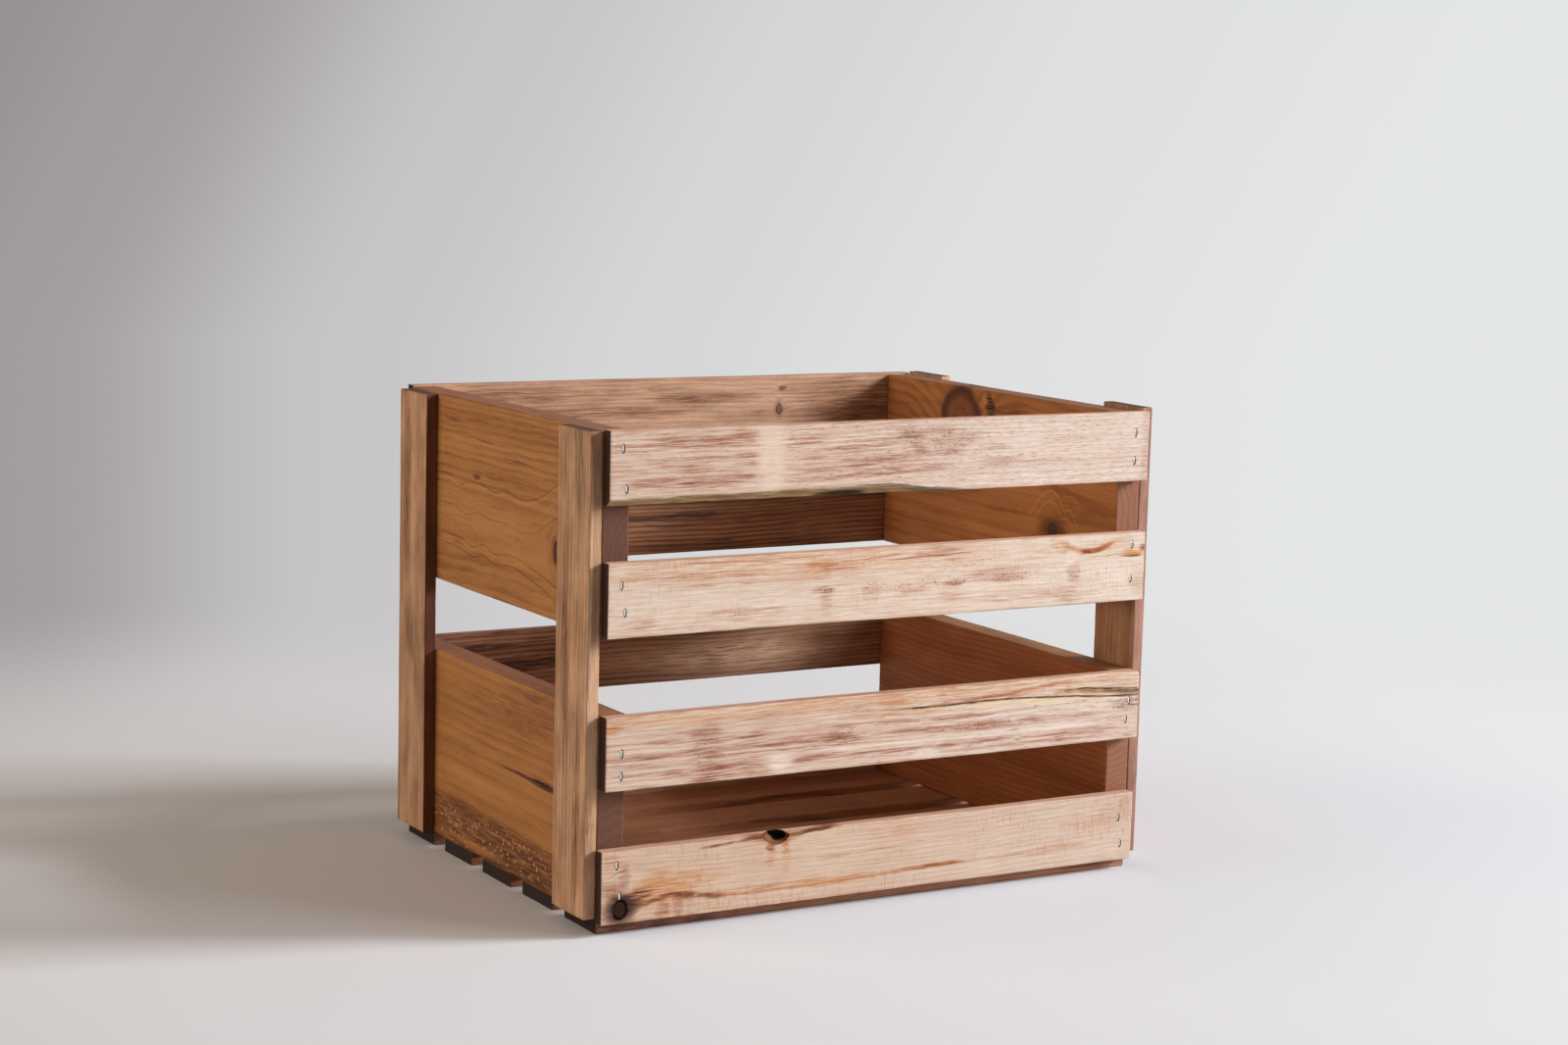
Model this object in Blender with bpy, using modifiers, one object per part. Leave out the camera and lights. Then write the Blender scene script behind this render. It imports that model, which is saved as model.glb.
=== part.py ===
"""Wooden apple crate: twenty-one sawn boards held together with wire staples.

Frame: metres, +Z up. X runs along the crate, Y runs across it and the front is at -Y.
The origin is the middle of the underside.

How it goes together: at each end two wide boards stand on edge, one above the other,
with a hand gap between them. A post at each corner, outside the end boards, ties the
pair. Four thin slats close each long side, stapled through into the end grain of the end
boards. Five slats under the end boards make the bottom.

Each long side's slats line up with the end boards' edges: the lowest hangs over the edge
of the bottom, the second ends level with the lower boards, the third starts level with
the upper boards, and the highest stands a little above them.
"""

import math

import bmesh
import bpy
from mathutils import Matrix, Vector

CRATE = "wooden_apple_crate"

# Joints between boards.
CLEARANCE = 0.0003
ARRIS = 0.0006
ARRIS_SEGMENTS = 2

# End boards: length across the crate, thickness along it, and the two heights.
END_LENGTH = 0.280
END_THICKNESS = 0.0175
LOWER_END_HEIGHT = 0.1235
UPPER_END_HEIGHT = 0.122
HAND_GAP = 0.0465

# Corner posts: width across the crate, thickness along it, and how far each stands above
# the end boards as cut. The left rear one was cut short.
POST_WIDTH = 0.043
POST_THICKNESS = 0.008
POST_PROUD = {
    "front_left": 0.0,
    "rear_left": -0.0008,
    "front_right": 0.0028,
    "rear_right": 0.0020,
}

# Side slats, how far the lowest hangs over the edge of the bottom, and how far the
# highest stands above the end boards.
SLAT_LENGTH = 0.390
SLAT_WIDTH = 0.045
SLAT_THICKNESS = 0.008
SLAT_OVERHANG = 0.002
SLAT_PROUD = 0.001

# Bottom slats.
BOTTOM_COUNT = 5
BOTTOM_WIDTH = 0.0425
BOTTOM_THICKNESS = 0.009

# Staples: outside width of the crown, leg length from the crown's face, wire section,
# and the punched oval that the crown lies in, which is wider than the slot for the wire
# by a margin at each side and at each end.
CROWN_WIDTH = 0.005
LEG_LENGTH = 0.025
WIRE_WIDTH = 0.00125
WIRE_THICKNESS = 0.001
CROWN_SINK = 0.0004
CROWN_BEND = 0.0011
BEND_STEPS = 3
CHISEL_LENGTH = 0.0015
PUNCH_SIDE_MARGIN = 0.0005
PUNCH_END_MARGIN = 0.0001
PUNCH_SEGMENTS = 16
PUNCH_TAPER = 0.85

# Waney arris: the bark side of the log, left along the lower front edge of the top slat
# from its left end. It rises to its full height, then runs out over the fade.
WANE_LENGTH = 0.241
WANE_FADE = 0.042
WANE_HEIGHT = 0.0052
WANE_SLOPE = math.radians(41.0)
WANE_RIPPLE = 0.0005
WANE_START_LOSS = 0.0014
WANE_RISE = 0.095
WANE_RIPPLE_PITCH = 0.062
WANE_STEPS = 28
WANE_BLOCK = 0.014

# Knot pocket: a bark-ringed hollow in the upper front edge of the lowest front slat, and
# the dished wane on both sides of it, both placed from the slat's left end.
KNOT_FROM_END = 0.1205
KNOT_HALF_LENGTH = 0.0098
KNOT_REACH = 0.0062
KNOT_DEPTH = 0.0075
KNOT_OFFSET = 0.0007
KNOT_RINGS = 8
KNOT_SEGMENTS = 20
DISH_HALF_LENGTH = 0.045
DISH_DEPTH = 0.0026
DISH_LEAN = math.radians(17.0)
DISH_SEGMENTS = 256

# How far a cutter passes beyond the surface that it opens, and how near two points of a
# staple's outline are when they are one point.
OVERSHOOT = 0.001
WELD_DISTANCE = 0.000003

# Drift of the slats along X as nailed, lowest first.
FRONT_DRIFT = (-0.0010, 0.0004, 0.0003, 0.0)
REAR_DRIFT = (0.0005, -0.0007, 0.0, 0.0006)

# Where the staples went in, lowest slat first. Each pair is a share of the end board's
# thickness from its outer face and a share of the slat's width from its lower edge.
LEFT_HITS = (
    ((0.53, 0.80), (0.66, 0.38)),
    ((0.65, 0.50), (0.64, 0.20)),
    ((0.53, 0.70), (0.67, 0.34)),
    ((0.50, 0.76), (0.65, 0.23)),
)
RIGHT_HITS = (
    ((0.70, 0.64), (0.58, 0.25)),
    ((0.43, 0.57), (0.55, 0.30)),
    ((0.58, 0.82), (0.60, 0.33)),
    ((0.62, 0.70), (0.63, 0.30)),
)

# Heights and faces that follow from the sizes above.
LOWER_END_BASE = BOTTOM_THICKNESS + CLEARANCE
LOWER_END_TOP = LOWER_END_BASE + LOWER_END_HEIGHT
UPPER_END_BASE = LOWER_END_TOP + HAND_GAP
UPPER_END_TOP = UPPER_END_BASE + UPPER_END_HEIGHT
RIM = UPPER_END_TOP + SLAT_PROUD
SLAT_BASES = (
    BOTTOM_THICKNESS - SLAT_OVERHANG,
    LOWER_END_TOP - SLAT_WIDTH,
    UPPER_END_BASE,
    RIM - SLAT_WIDTH,
)
SLAT_BACK = END_LENGTH / 2 + CLEARANCE
SLAT_FACE = SLAT_BACK + SLAT_THICKNESS
ROW_NAMES = ("lowest", "second", "third", "top")


def clear_scene():
    """Remove whatever the file opened with."""
    for thing in list(bpy.data.objects):
        bpy.data.objects.remove(thing, do_unlink=True)


def new_collection(name):
    """Make a collection in the scene."""
    collection = bpy.data.collections.new(name)
    bpy.context.scene.collection.children.link(collection)
    return collection


def new_material(name, colour, roughness, metallic=0.0):
    """Make a plain Principled material."""
    material = bpy.data.materials.new(name)
    material.use_nodes = True
    shader = material.node_tree.nodes["Principled BSDF"]
    shader.inputs["Base Color"].default_value = (*colour, 1.0)
    shader.inputs["Roughness"].default_value = roughness
    shader.inputs["Metallic"].default_value = metallic
    return material


def place(mesh, name, collection, location, material=None):
    """Put a mesh in a collection as an object of its own."""
    thing = bpy.data.objects.new(name, mesh)
    thing.location = location
    collection.objects.link(thing)
    if material and not mesh.materials:
        mesh.materials.append(material)
    return thing


def hide_cutter(cutter):
    """Show a cutter as wires only."""
    cutter.hide_render = True
    cutter.display_type = "WIRE"
    return cutter


def finish_shape(shape, name):
    """Turn a bmesh into a mesh."""
    mesh = bpy.data.meshes.new(name)
    shape.to_mesh(mesh)
    shape.free()
    return mesh


def cube_shape(size):
    """Make a box about the origin."""
    shape = bmesh.new()
    bmesh.ops.create_cube(shape, size=1.0)
    bmesh.ops.scale(shape, vec=size, verts=shape.verts)
    return shape


def board(name, low, high, collection, material):
    """Saw a board between two corners and ease its edges."""
    low = Vector(low)
    high = Vector(high)
    mesh = finish_shape(cube_shape(high - low), name)
    thing = place(mesh, name, collection, (low + high) / 2, material)
    easing = thing.modifiers.new("eased_edges", "BEVEL")
    easing.width = ARRIS
    easing.segments = ARRIS_SEGMENTS
    return thing


def cut(thing, cutter):
    """Take a cutter's shape out of a board."""
    removal = thing.modifiers.new(cutter.name, "BOOLEAN")
    removal.operation = "DIFFERENCE"
    removal.solver = "EXACT"
    removal.object = cutter


def build_end(side, name, collection, material):
    """Make the two wide boards of one end, with the hand gap between them."""
    outer = SLAT_LENGTH / 2
    inner = outer - END_THICKNESS
    low_x, high_x = sorted((side * inner, side * outer))
    half = END_LENGTH / 2
    heights = {
        "lower": (LOWER_END_BASE, LOWER_END_TOP),
        "upper": (UPPER_END_BASE, UPPER_END_TOP),
    }
    boards = {}
    for level, (base, top) in heights.items():
        boards[level] = board(f"{name}_end_board_{level}", (low_x, -half, base),
                              (high_x, half, top), collection, material)
    return boards


def build_posts(collection, material):
    """Stand a post outside the end boards at each corner, level with their end grain."""
    inner = SLAT_LENGTH / 2 + CLEARANCE
    outer = inner + POST_THICKNESS
    edge = END_LENGTH / 2
    for side, end_name in ((-1, "left"), (1, "right")):
        low_x, high_x = sorted((side * inner, side * outer))
        for front, face_name in ((-1, "front"), (1, "rear")):
            corner = f"{face_name}_{end_name}"
            low_y, high_y = sorted((front * edge, front * (edge - POST_WIDTH)))
            board(f"corner_post_{corner}", (low_x, low_y, LOWER_END_BASE),
                  (high_x, high_y, UPPER_END_TOP + POST_PROUD[corner]), collection, material)


def build_bottom(collection, material):
    """Lay the bottom slats under the end boards, the outer two level with the end grain."""
    pitch = (END_LENGTH - BOTTOM_WIDTH) / (BOTTOM_COUNT - 1)
    half = SLAT_LENGTH / 2
    for index in range(BOTTOM_COUNT):
        low_y = index * pitch - END_LENGTH / 2
        board(f"bottom_slat_{index + 1}", (-half, low_y, 0.0),
              (half, low_y + BOTTOM_WIDTH, BOTTOM_THICKNESS), collection, material)


def build_side(front, name, drifts, collection, material):
    """Make the four slats of one long side, lowest first."""
    low_y, high_y = sorted((front * SLAT_BACK, front * SLAT_FACE))
    half = SLAT_LENGTH / 2
    slats = []
    for row, base, drift in zip(ROW_NAMES, SLAT_BASES, drifts):
        slats.append(board(f"{name}_slat_{row}", (drift - half, low_y, base),
                           (drift + half, high_y, base + SLAT_WIDTH), collection, material))
    return slats


def arc(centre_x, centre_y, radius, start, end):
    """Points along an arc in a plane, angles in degrees."""
    points = []
    for step in range(BEND_STEPS + 1):
        angle = math.radians(start + (end - start) * step / BEND_STEPS)
        points.append((centre_x + radius * math.cos(angle), centre_y + radius * math.sin(angle)))
    return points


def staple_outline(grow):
    """Outline of a staple seen flat: crown on the X axis, legs along +Y.

    grow widens the wire all round, for the slot that the staple lies in.
    """
    half = CROWN_WIDTH / 2 + grow
    wire = WIRE_THICKNESS + 2 * grow
    bend = CROWN_BEND + grow
    tip = LEG_LENGTH + grow
    shoulder = tip - CHISEL_LENGTH
    inner = half - wire
    points = arc(half - bend, bend - grow, bend, 0.0, -90.0)
    points += arc(bend - half, bend - grow, bend, -90.0, -180.0)
    points += [(-half, tip), (-inner, shoulder), (-inner, wire - grow)]
    points += [(inner, wire - grow), (inner, shoulder), (half, tip)]
    return points


def staple_mesh(name, grow):
    """Bend a staple from flat wire: its crown is upright and its legs point along +Y."""
    curve = bpy.data.curves.new(name, "CURVE")
    curve.dimensions = "2D"
    curve.fill_mode = "BOTH"
    curve.extrude = WIRE_WIDTH / 2 + grow
    points = staple_outline(grow)
    spline = curve.splines.new("POLY")
    spline.points.add(len(points) - 1)
    for point, (across, along) in zip(spline.points, points):
        point.co = (across, along, 0.0, 1.0)
    spline.use_cyclic_u = True
    flat = bpy.data.objects.new(name, curve)
    bpy.context.scene.collection.objects.link(flat)
    bpy.context.view_layer.update()
    evaluated = flat.evaluated_get(bpy.context.evaluated_depsgraph_get())
    mesh = bpy.data.meshes.new_from_object(evaluated)
    bpy.data.objects.remove(flat, do_unlink=True)
    bpy.data.curves.remove(curve)
    shape = bmesh.new()
    shape.from_mesh(mesh)
    bmesh.ops.remove_doubles(shape, verts=shape.verts, dist=WELD_DISTANCE)
    bmesh.ops.rotate(shape, matrix=Matrix.Rotation(math.radians(90), 3, "Y"), verts=shape.verts)
    bmesh.ops.recalc_face_normals(shape, faces=shape.faces)
    shape.to_mesh(mesh)
    shape.free()
    mesh.name = name
    return mesh


def punch_mesh():
    """Oval that the crown is driven into, open towards -Y and narrower at its floor."""
    floor = CROWN_SINK + WIRE_THICKNESS + 2 * CLEARANCE
    depth = floor + OVERSHOOT
    shape = bmesh.new()
    bmesh.ops.create_cone(shape, cap_ends=True, segments=PUNCH_SEGMENTS, radius1=0.5,
                          radius2=0.5 * PUNCH_TAPER, depth=1.0)
    half_wide = WIRE_WIDTH / 2 + CLEARANCE + PUNCH_SIDE_MARGIN
    half_tall = CROWN_WIDTH / 2 + CLEARANCE + PUNCH_END_MARGIN
    size = (2 * half_wide / PUNCH_TAPER, 2 * half_tall / PUNCH_TAPER, depth)
    bmesh.ops.scale(shape, vec=size, verts=shape.verts)
    bmesh.ops.rotate(shape, matrix=Matrix.Rotation(math.radians(-90), 3, "X"), verts=shape.verts)
    bmesh.ops.translate(shape, vec=(0.0, depth / 2 - OVERSHOOT, 0.0), verts=shape.verts)
    return finish_shape(shape, "punch")


def drive_staples(front, slats, ends, meshes, parts, cutters):
    """Staple one long side's slats to both ends, cutting each staple's slot and punch."""
    face_name = "front" if front < 0 else "rear"
    turn = 0.0 if front < 0 else math.pi
    for row, slat, base in zip(range(len(slats)), slats, SLAT_BASES):
        level = "lower" if base < LOWER_END_TOP else "upper"
        for side, end_name, hits in ((-1, "left", LEFT_HITS), (1, "right", RIGHT_HITS)):
            for count, (inward, upward) in enumerate(hits[row], 1):
                across = side * (SLAT_LENGTH / 2 - inward * END_THICKNESS)
                height = base + upward * SLAT_WIDTH
                label = f"{face_name}_{ROW_NAMES[row]}_{end_name}_{count}"
                crown = Vector((across, front * (SLAT_FACE - CROWN_SINK), height))
                mouth = Vector((across, front * SLAT_FACE, height))
                staple = place(meshes["staple"], f"staple_{label}", parts, crown)
                slot = hide_cutter(place(meshes["slot"], f"slot_{label}", cutters, crown))
                punch = hide_cutter(place(meshes["punch"], f"punch_{label}", cutters, mouth))
                for thing in (staple, slot, punch):
                    thing.rotation_euler = (0.0, 0.0, turn)
                cut(slat, punch)
                cut(slat, slot)
                cut(ends[end_name][level], slot)


def wane_fall(along):
    """How far the bark surface lies below the full wane, at a distance from the left end."""
    ripple = WANE_RIPPLE * (1.0 - math.cos(2 * math.pi * along / WANE_RIPPLE_PITCH)) / 2
    rise = max(0.0, 1.0 - along / WANE_RISE)
    run_out = max(0.0, (along - (WANE_LENGTH - WANE_FADE)) / WANE_FADE)
    return ripple + WANE_START_LOSS * rise * rise + WANE_HEIGHT * run_out


def cut_wane(slat, cutters):
    """Slope the lower front arris along the log's own surface."""
    length = WANE_LENGTH + WANE_FADE + OVERSHOOT
    shape = cube_shape((length, WANE_BLOCK * 2, WANE_BLOCK))
    long_edges = [edge for edge in shape.edges if edge.calc_length() > WANE_BLOCK * 2 + OVERSHOOT]
    bmesh.ops.subdivide_edges(shape, edges=long_edges, cuts=WANE_STEPS, use_grid_fill=True)
    bmesh.ops.translate(shape, vec=(length / 2 - OVERSHOOT, 0.0, -WANE_BLOCK / 2),
                        verts=shape.verts)
    for vert in shape.verts:
        vert.co.z -= wane_fall(max(0.0, vert.co.x)) * math.cos(WANE_SLOPE)
    bmesh.ops.rotate(shape, matrix=Matrix.Rotation(-WANE_SLOPE, 3, "X"), verts=shape.verts)
    left = slat.location.x - SLAT_LENGTH / 2
    arris = Vector((left, -SLAT_FACE, SLAT_BASES[-1] + WANE_HEIGHT))
    mesh = finish_shape(shape, "wane_surface")
    cut(slat, hide_cutter(place(mesh, "wane_surface", cutters, arris)))


def cut_knot(slat, cutters):
    """Hollow the knot pocket and dish the edge on both sides of it."""
    centre_x = slat.location.x - SLAT_LENGTH / 2 + KNOT_FROM_END
    edge = SLAT_BASES[0] + SLAT_WIDTH
    radius = (DISH_HALF_LENGTH ** 2 + DISH_DEPTH ** 2) / (2 * DISH_DEPTH)
    dish = bmesh.new()
    bmesh.ops.create_cone(dish, cap_ends=True, segments=DISH_SEGMENTS, radius1=radius,
                          radius2=radius, depth=SLAT_THICKNESS * 2)
    bmesh.ops.rotate(dish, matrix=Matrix.Rotation(math.radians(90), 3, "X"), verts=dish.verts)
    bmesh.ops.translate(dish, vec=(0.0, 0.0, radius), verts=dish.verts)
    bmesh.ops.rotate(dish, matrix=Matrix.Rotation(DISH_LEAN, 3, "X"), verts=dish.verts)
    low = Vector((centre_x, -SLAT_FACE, edge - DISH_DEPTH))
    dish_mesh = finish_shape(dish, "knot_dish")
    cut(slat, hide_cutter(place(dish_mesh, "knot_dish", cutters, low)))
    pocket = bmesh.new()
    bmesh.ops.create_uvsphere(pocket, u_segments=KNOT_SEGMENTS, v_segments=KNOT_RINGS, radius=1.0)
    bmesh.ops.scale(pocket, vec=(KNOT_HALF_LENGTH, KNOT_REACH, KNOT_DEPTH), verts=pocket.verts)
    pocket_mesh = finish_shape(pocket, "knot_pocket")
    corner = Vector((centre_x, -SLAT_FACE - KNOT_OFFSET, edge + KNOT_OFFSET))
    cut(slat, hide_cutter(place(pocket_mesh, "knot_pocket", cutters, corner)))


def build_crate():
    """Make every board and staple."""
    clear_scene()
    parts = new_collection(CRATE)
    cutters = new_collection("cutters")
    side_wood = new_material("side_wood", (0.62, 0.44, 0.31), 0.75)
    end_wood = new_material("end_wood", (0.36, 0.19, 0.075), 0.7)
    post_wood = new_material("post_wood", (0.42, 0.27, 0.16), 0.8)
    bottom_wood = new_material("bottom_wood", (0.24, 0.12, 0.06), 0.8)
    steel = new_material("staple_steel", (0.62, 0.61, 0.58), 0.35, 1.0)
    ends = {
        "left": build_end(-1, "left", parts, end_wood),
        "right": build_end(1, "right", parts, end_wood),
    }
    build_posts(parts, post_wood)
    build_bottom(parts, bottom_wood)
    front_slats = build_side(-1, "front", FRONT_DRIFT, parts, side_wood)
    rear_slats = build_side(1, "rear", REAR_DRIFT, parts, side_wood)
    meshes = {
        "staple": staple_mesh("staple", 0.0),
        "slot": staple_mesh("staple_slot", CLEARANCE),
        "punch": punch_mesh(),
    }
    meshes["staple"].materials.append(steel)
    drive_staples(-1, front_slats, ends, meshes, parts, cutters)
    drive_staples(1, rear_slats, ends, meshes, parts, cutters)
    cut_wane(front_slats[-1], cutters)
    cut_knot(front_slats[0], cutters)


build_crate()
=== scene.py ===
"""Looks of the wooden apple crate: sawn, stained boards with their own grain, knots and
wear, bright wire staples, and a plain pale studio.

Lengths in the crate's frame are metres, +Z up, front at -Y. Everything on a board is
placed in that board's own millimetres: along its grain, across its width and through its
thickness, from the lowest corner of its CAD node. A colour is given as it looks on screen.
"""

import math
from dataclasses import dataclass

import bmesh
import bpy
import numpy as np
from mathutils import Matrix, Vector


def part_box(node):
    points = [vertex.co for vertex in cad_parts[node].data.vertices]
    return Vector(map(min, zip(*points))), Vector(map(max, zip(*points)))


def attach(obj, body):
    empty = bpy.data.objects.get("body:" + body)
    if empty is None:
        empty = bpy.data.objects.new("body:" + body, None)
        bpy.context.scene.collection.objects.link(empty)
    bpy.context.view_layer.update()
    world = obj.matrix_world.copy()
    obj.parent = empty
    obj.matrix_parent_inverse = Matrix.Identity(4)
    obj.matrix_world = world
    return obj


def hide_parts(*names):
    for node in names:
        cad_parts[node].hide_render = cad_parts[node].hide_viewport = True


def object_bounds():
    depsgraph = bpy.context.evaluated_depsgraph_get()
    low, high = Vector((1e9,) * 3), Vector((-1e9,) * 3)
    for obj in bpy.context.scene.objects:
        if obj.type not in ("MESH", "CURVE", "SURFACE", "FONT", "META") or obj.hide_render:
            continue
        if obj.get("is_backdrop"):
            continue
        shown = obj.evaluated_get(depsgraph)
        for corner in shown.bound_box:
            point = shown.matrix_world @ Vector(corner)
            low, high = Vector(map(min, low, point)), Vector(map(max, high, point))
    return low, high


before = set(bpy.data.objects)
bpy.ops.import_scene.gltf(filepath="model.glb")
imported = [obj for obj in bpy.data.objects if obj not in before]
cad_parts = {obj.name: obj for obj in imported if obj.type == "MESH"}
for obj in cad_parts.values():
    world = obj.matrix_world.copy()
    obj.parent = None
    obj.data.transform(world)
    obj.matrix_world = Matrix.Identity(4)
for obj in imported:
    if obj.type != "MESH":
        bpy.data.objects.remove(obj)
CAD_LOW, CAD_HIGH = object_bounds()

MM = 0.001
X, Y, Z = 0, 1, 2
UP = Vector((0, 0, 1))


# ---------------------------------------------------------------- boards as meshes

# How finely a board's skin is cut, in mm: beside its arrises, then along, across and
# through, and the least distance between two cuts.
EDGE_STEPS = (0.0, 0.25, 0.6, 1.1, 1.9)
CUT_STEPS = (3.5, 2.6, 2.6)
CLOSEST_CUTS = 0.12
SHARP_ANGLE = math.radians(50)

# How the saw leaves a board, in mm: how far its faces wander inward, how its arrises are
# eased and chipped, and how far the painted shade along the arrises reaches. A size is that
# of the waves along, across and through.
# CHIP_START is no length, but the height of the noise at which a chip begins. FACES_APART
# keeps the noise of opposite faces different, and NO_BARK lies well short of any bark.
WANDER = (0.3, 0.3, 0.12)
WANDER_SIZE = (60, 45, 45)
FACES_APART = 400.0
EASING = 0.7
EASING_SIZE = (30, 20, 20)
CHIP_SIZE = (7, 5, 5)
WIDE_CHIP_SIZE = (21, 14, 14)
CHIP_START = 0.75
CHIP_DEPTH = 1.1
ARRIS_SHADE_REACH = 1.6
ARRIS_SHADE_SIZE = (12, 9, 9)
NO_BARK = -50.0

# Settling points on a surface: its rounds, the step in mm that measures the slope, and the
# least squared slope that is divided by.
SETTLE_ROUNDS = 8
SETTLE_NUDGE = 0.002
LEAST_SLOPE = 0.2

LATTICE = 16


def add_object(name, data):
    """A new object in the scene."""
    thing = bpy.data.objects.new(name, data)
    bpy.context.scene.collection.objects.link(thing)
    return thing


def noise(points, seed, size):
    """Smooth noise from -1 to 1, with waves of about the given size along each axis."""
    table = np.random.default_rng(seed).uniform(-1.0, 1.0, (LATTICE,) * 3)
    at = points / np.asarray(size, float)
    cell = np.floor(at).astype(int)
    part = at - cell
    part = part * part * (3.0 - 2.0 * part)
    total = np.zeros(len(points))
    for step in np.ndindex(2, 2, 2):
        weight = np.prod(np.where(step, part, 1.0 - part), axis=1)
        corner = (cell + step) % LATTICE
        total += weight * table[corner[:, 0], corner[:, 1], corner[:, 2]]
    return total


def stations(length, step, dense):
    """Cuts in mm from 0 to length: close at both ends, step apart elsewhere.

    dense is a list of (start, end, step) stretches that are cut finer.
    """
    cuts = set(EDGE_STEPS) | {round(length - s, 4) for s in EDGE_STEPS}
    inner = length - 2 * EDGE_STEPS[-1]
    count = max(1, round(inner / step))
    cuts |= {round(EDGE_STEPS[-1] + inner * i / count, 4) for i in range(1, count)}
    for start, end, fine in dense:
        cuts = {c for c in cuts if not start < c < end or c in EDGE_STEPS}
        cuts |= {round(c, 4) for c in np.arange(start, end, fine)}
    cuts = sorted(c for c in cuts if 0.0 <= c <= length)
    kept = [cuts[0]]
    for cut in cuts[1:]:
        if cut - kept[-1] > CLOSEST_CUTS:
            kept.append(cut)
    kept[-1] = length
    return np.array(kept)


def box_skin(cuts):
    """Points and outward quads of a closed box, cut at the given stations on each axis."""
    shape = tuple(len(c) for c in cuts)
    grid = np.indices(shape)
    skin = np.zeros(shape, bool)
    for axis in range(3):
        skin |= (grid[axis] == 0) | (grid[axis] == shape[axis] - 1)
    number = np.full(shape, -1)
    number[skin] = np.arange(skin.sum())
    points = np.stack([cuts[axis][grid[axis][skin]] for axis in range(3)], axis=1)
    quads = []
    for axis in range(3):
        for end in (0, -1):
            sheet = np.take(number, end, axis=axis)
            loop = (sheet[:-1, :-1], sheet[1:, :-1], sheet[1:, 1:], sheet[:-1, 1:])
            if (axis == 1) != (end == 0):
                loop = loop[::-1]
            quads.append(np.stack(loop, -1).reshape(-1, 4))
    return points, np.concatenate(quads)


class Board:
    """One board of the crate: its CAD node, its three grain directions and its size in mm."""

    def __init__(self, node, along, seed):
        self.node = node
        self.low, self.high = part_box(node)
        extent = self.high - self.low
        through = min(range(3), key=lambda axis: extent[axis])
        across = 3 - along - through
        self.axes = (along, across, through)
        self.size = np.array([extent[axis] for axis in self.axes]) / MM
        self.seed = seed

    def local(self, place):
        """A place in the crate's frame as millimetres along, across and through the board."""
        return [(place[axis] - self.low[axis]) / MM for axis in self.axes]

    def point(self, a, b, t):
        """The place in the crate's frame of a point in the board's own millimetres."""
        place = Vector(self.low)
        for axis, value in zip(self.axes, (a, b, t)):
            place[axis] += value * MM
        return place


def bell(value, middle, spread):
    """A bell between 0 and 1."""
    return np.exp(-(((value - middle) / spread) ** 2))


def board_distance(points, half, radius, plan_radius):
    """Signed distance in mm to a board with eased edges, whose middle is the origin."""
    reach = np.abs(points) - half
    corner = reach[:, :2] + plan_radius[:, None]
    plan = np.linalg.norm(np.maximum(corner, 0.0), axis=1)
    plan += np.minimum(corner.max(axis=1), 0.0) - plan_radius
    edge = np.stack([plan, reach[:, 2]], axis=1) + radius[:, None]
    result = np.linalg.norm(np.maximum(edge, 0.0), axis=1)
    return result + np.minimum(edge.max(axis=1), 0.0) - radius


def settle(points, distance):
    """Move points onto the surface where distance is zero, by the shortest way."""
    for _ in range(SETTLE_ROUNDS):
        value = distance(points)
        slope = np.empty_like(points)
        for axis in range(3):
            shift = np.zeros(3)
            shift[axis] = SETTLE_NUDGE
            change = distance(points + shift) - distance(points - shift)
            slope[:, axis] = change / (2 * SETTLE_NUDGE)
        length = np.maximum((slope**2).sum(axis=1), LEAST_SLOPE)
        points = points - slope * (value / length)[:, None]
    return points


def saw_board(board, worn, dense=((), (), ()), cut=None):
    """Mesh of a board with uneven sawn faces, eased and chipped arrises and worn corners.

    worn is a list of (along, across, extra radius, reach) for corners rubbed round in plan.
    cut says how far points lie past a surface that takes more of the board away.
    """
    centre = board.size / 2
    seed = board.seed * 10
    points, quads = box_skin([stations(*axis) for axis in zip(board.size, CUT_STEPS, dense)])
    side = np.sign(points - centre)
    inset = np.empty_like(points)
    for axis, depth in enumerate(WANDER):
        shifted = points + side[:, axis:axis + 1] * FACES_APART
        inset[:, axis] = depth * (0.5 + 0.5 * noise(shifted, seed + axis, WANDER_SIZE))
    half = centre - inset
    chips = noise(points, seed + 4, CHIP_SIZE) + 0.6 * noise(points, seed + 5, WIDE_CHIP_SIZE)
    radius = EASING * (0.75 + 0.25 * noise(points, seed + 6, EASING_SIZE))
    radius += CHIP_DEPTH * np.clip(chips - CHIP_START, 0.0, 1.0)
    plan_radius = radius + 0.01
    for a, b, extra, reach in worn:
        along = extra * bell(points[:, 0], a, reach)
        plan_radius = plan_radius + along * bell(points[:, 1], b, reach)
    start = centre + (points - centre) * (half / centre)
    edge = np.sort(centre - np.abs(points - centre), axis=1)[:, 1]
    # Painted shade along the arrises: darker within a couple of mm of them.
    arris_shade = np.exp(-edge / ARRIS_SHADE_REACH) * (0.6 + 0.4 * noise(points, seed + 7, ARRIS_SHADE_SIZE))

    def distance(at):
        result = board_distance(at - centre, half, radius, plan_radius)
        return np.maximum(result, cut(at)) if cut else result

    settled = settle(start, distance)
    bark = cut(settled) if cut else np.full(len(points), NO_BARK)
    place = np.empty_like(settled)
    for index, axis in enumerate(board.axes):
        place[:, axis] = board.low[axis] + settled[:, index] * MM
    if np.linalg.det(np.eye(3)[list(board.axes)]) < 0:
        quads = quads[:, ::-1]
    mesh = bpy.data.meshes.new(f"{board.node}_wood")
    mesh.from_pydata(place.tolist(), [], quads.tolist())
    for name, values in (("arris_shade", arris_shade), ("bark", bark)):
        layer = mesh.attributes.new(name, "FLOAT", "POINT")
        layer.data.foreach_set("value", values.astype(np.float32))
    mesh.polygons.foreach_set("use_smooth", [True] * len(mesh.polygons))
    mesh.update()
    return add_object(f"{board.node}_wood", mesh)


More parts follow.
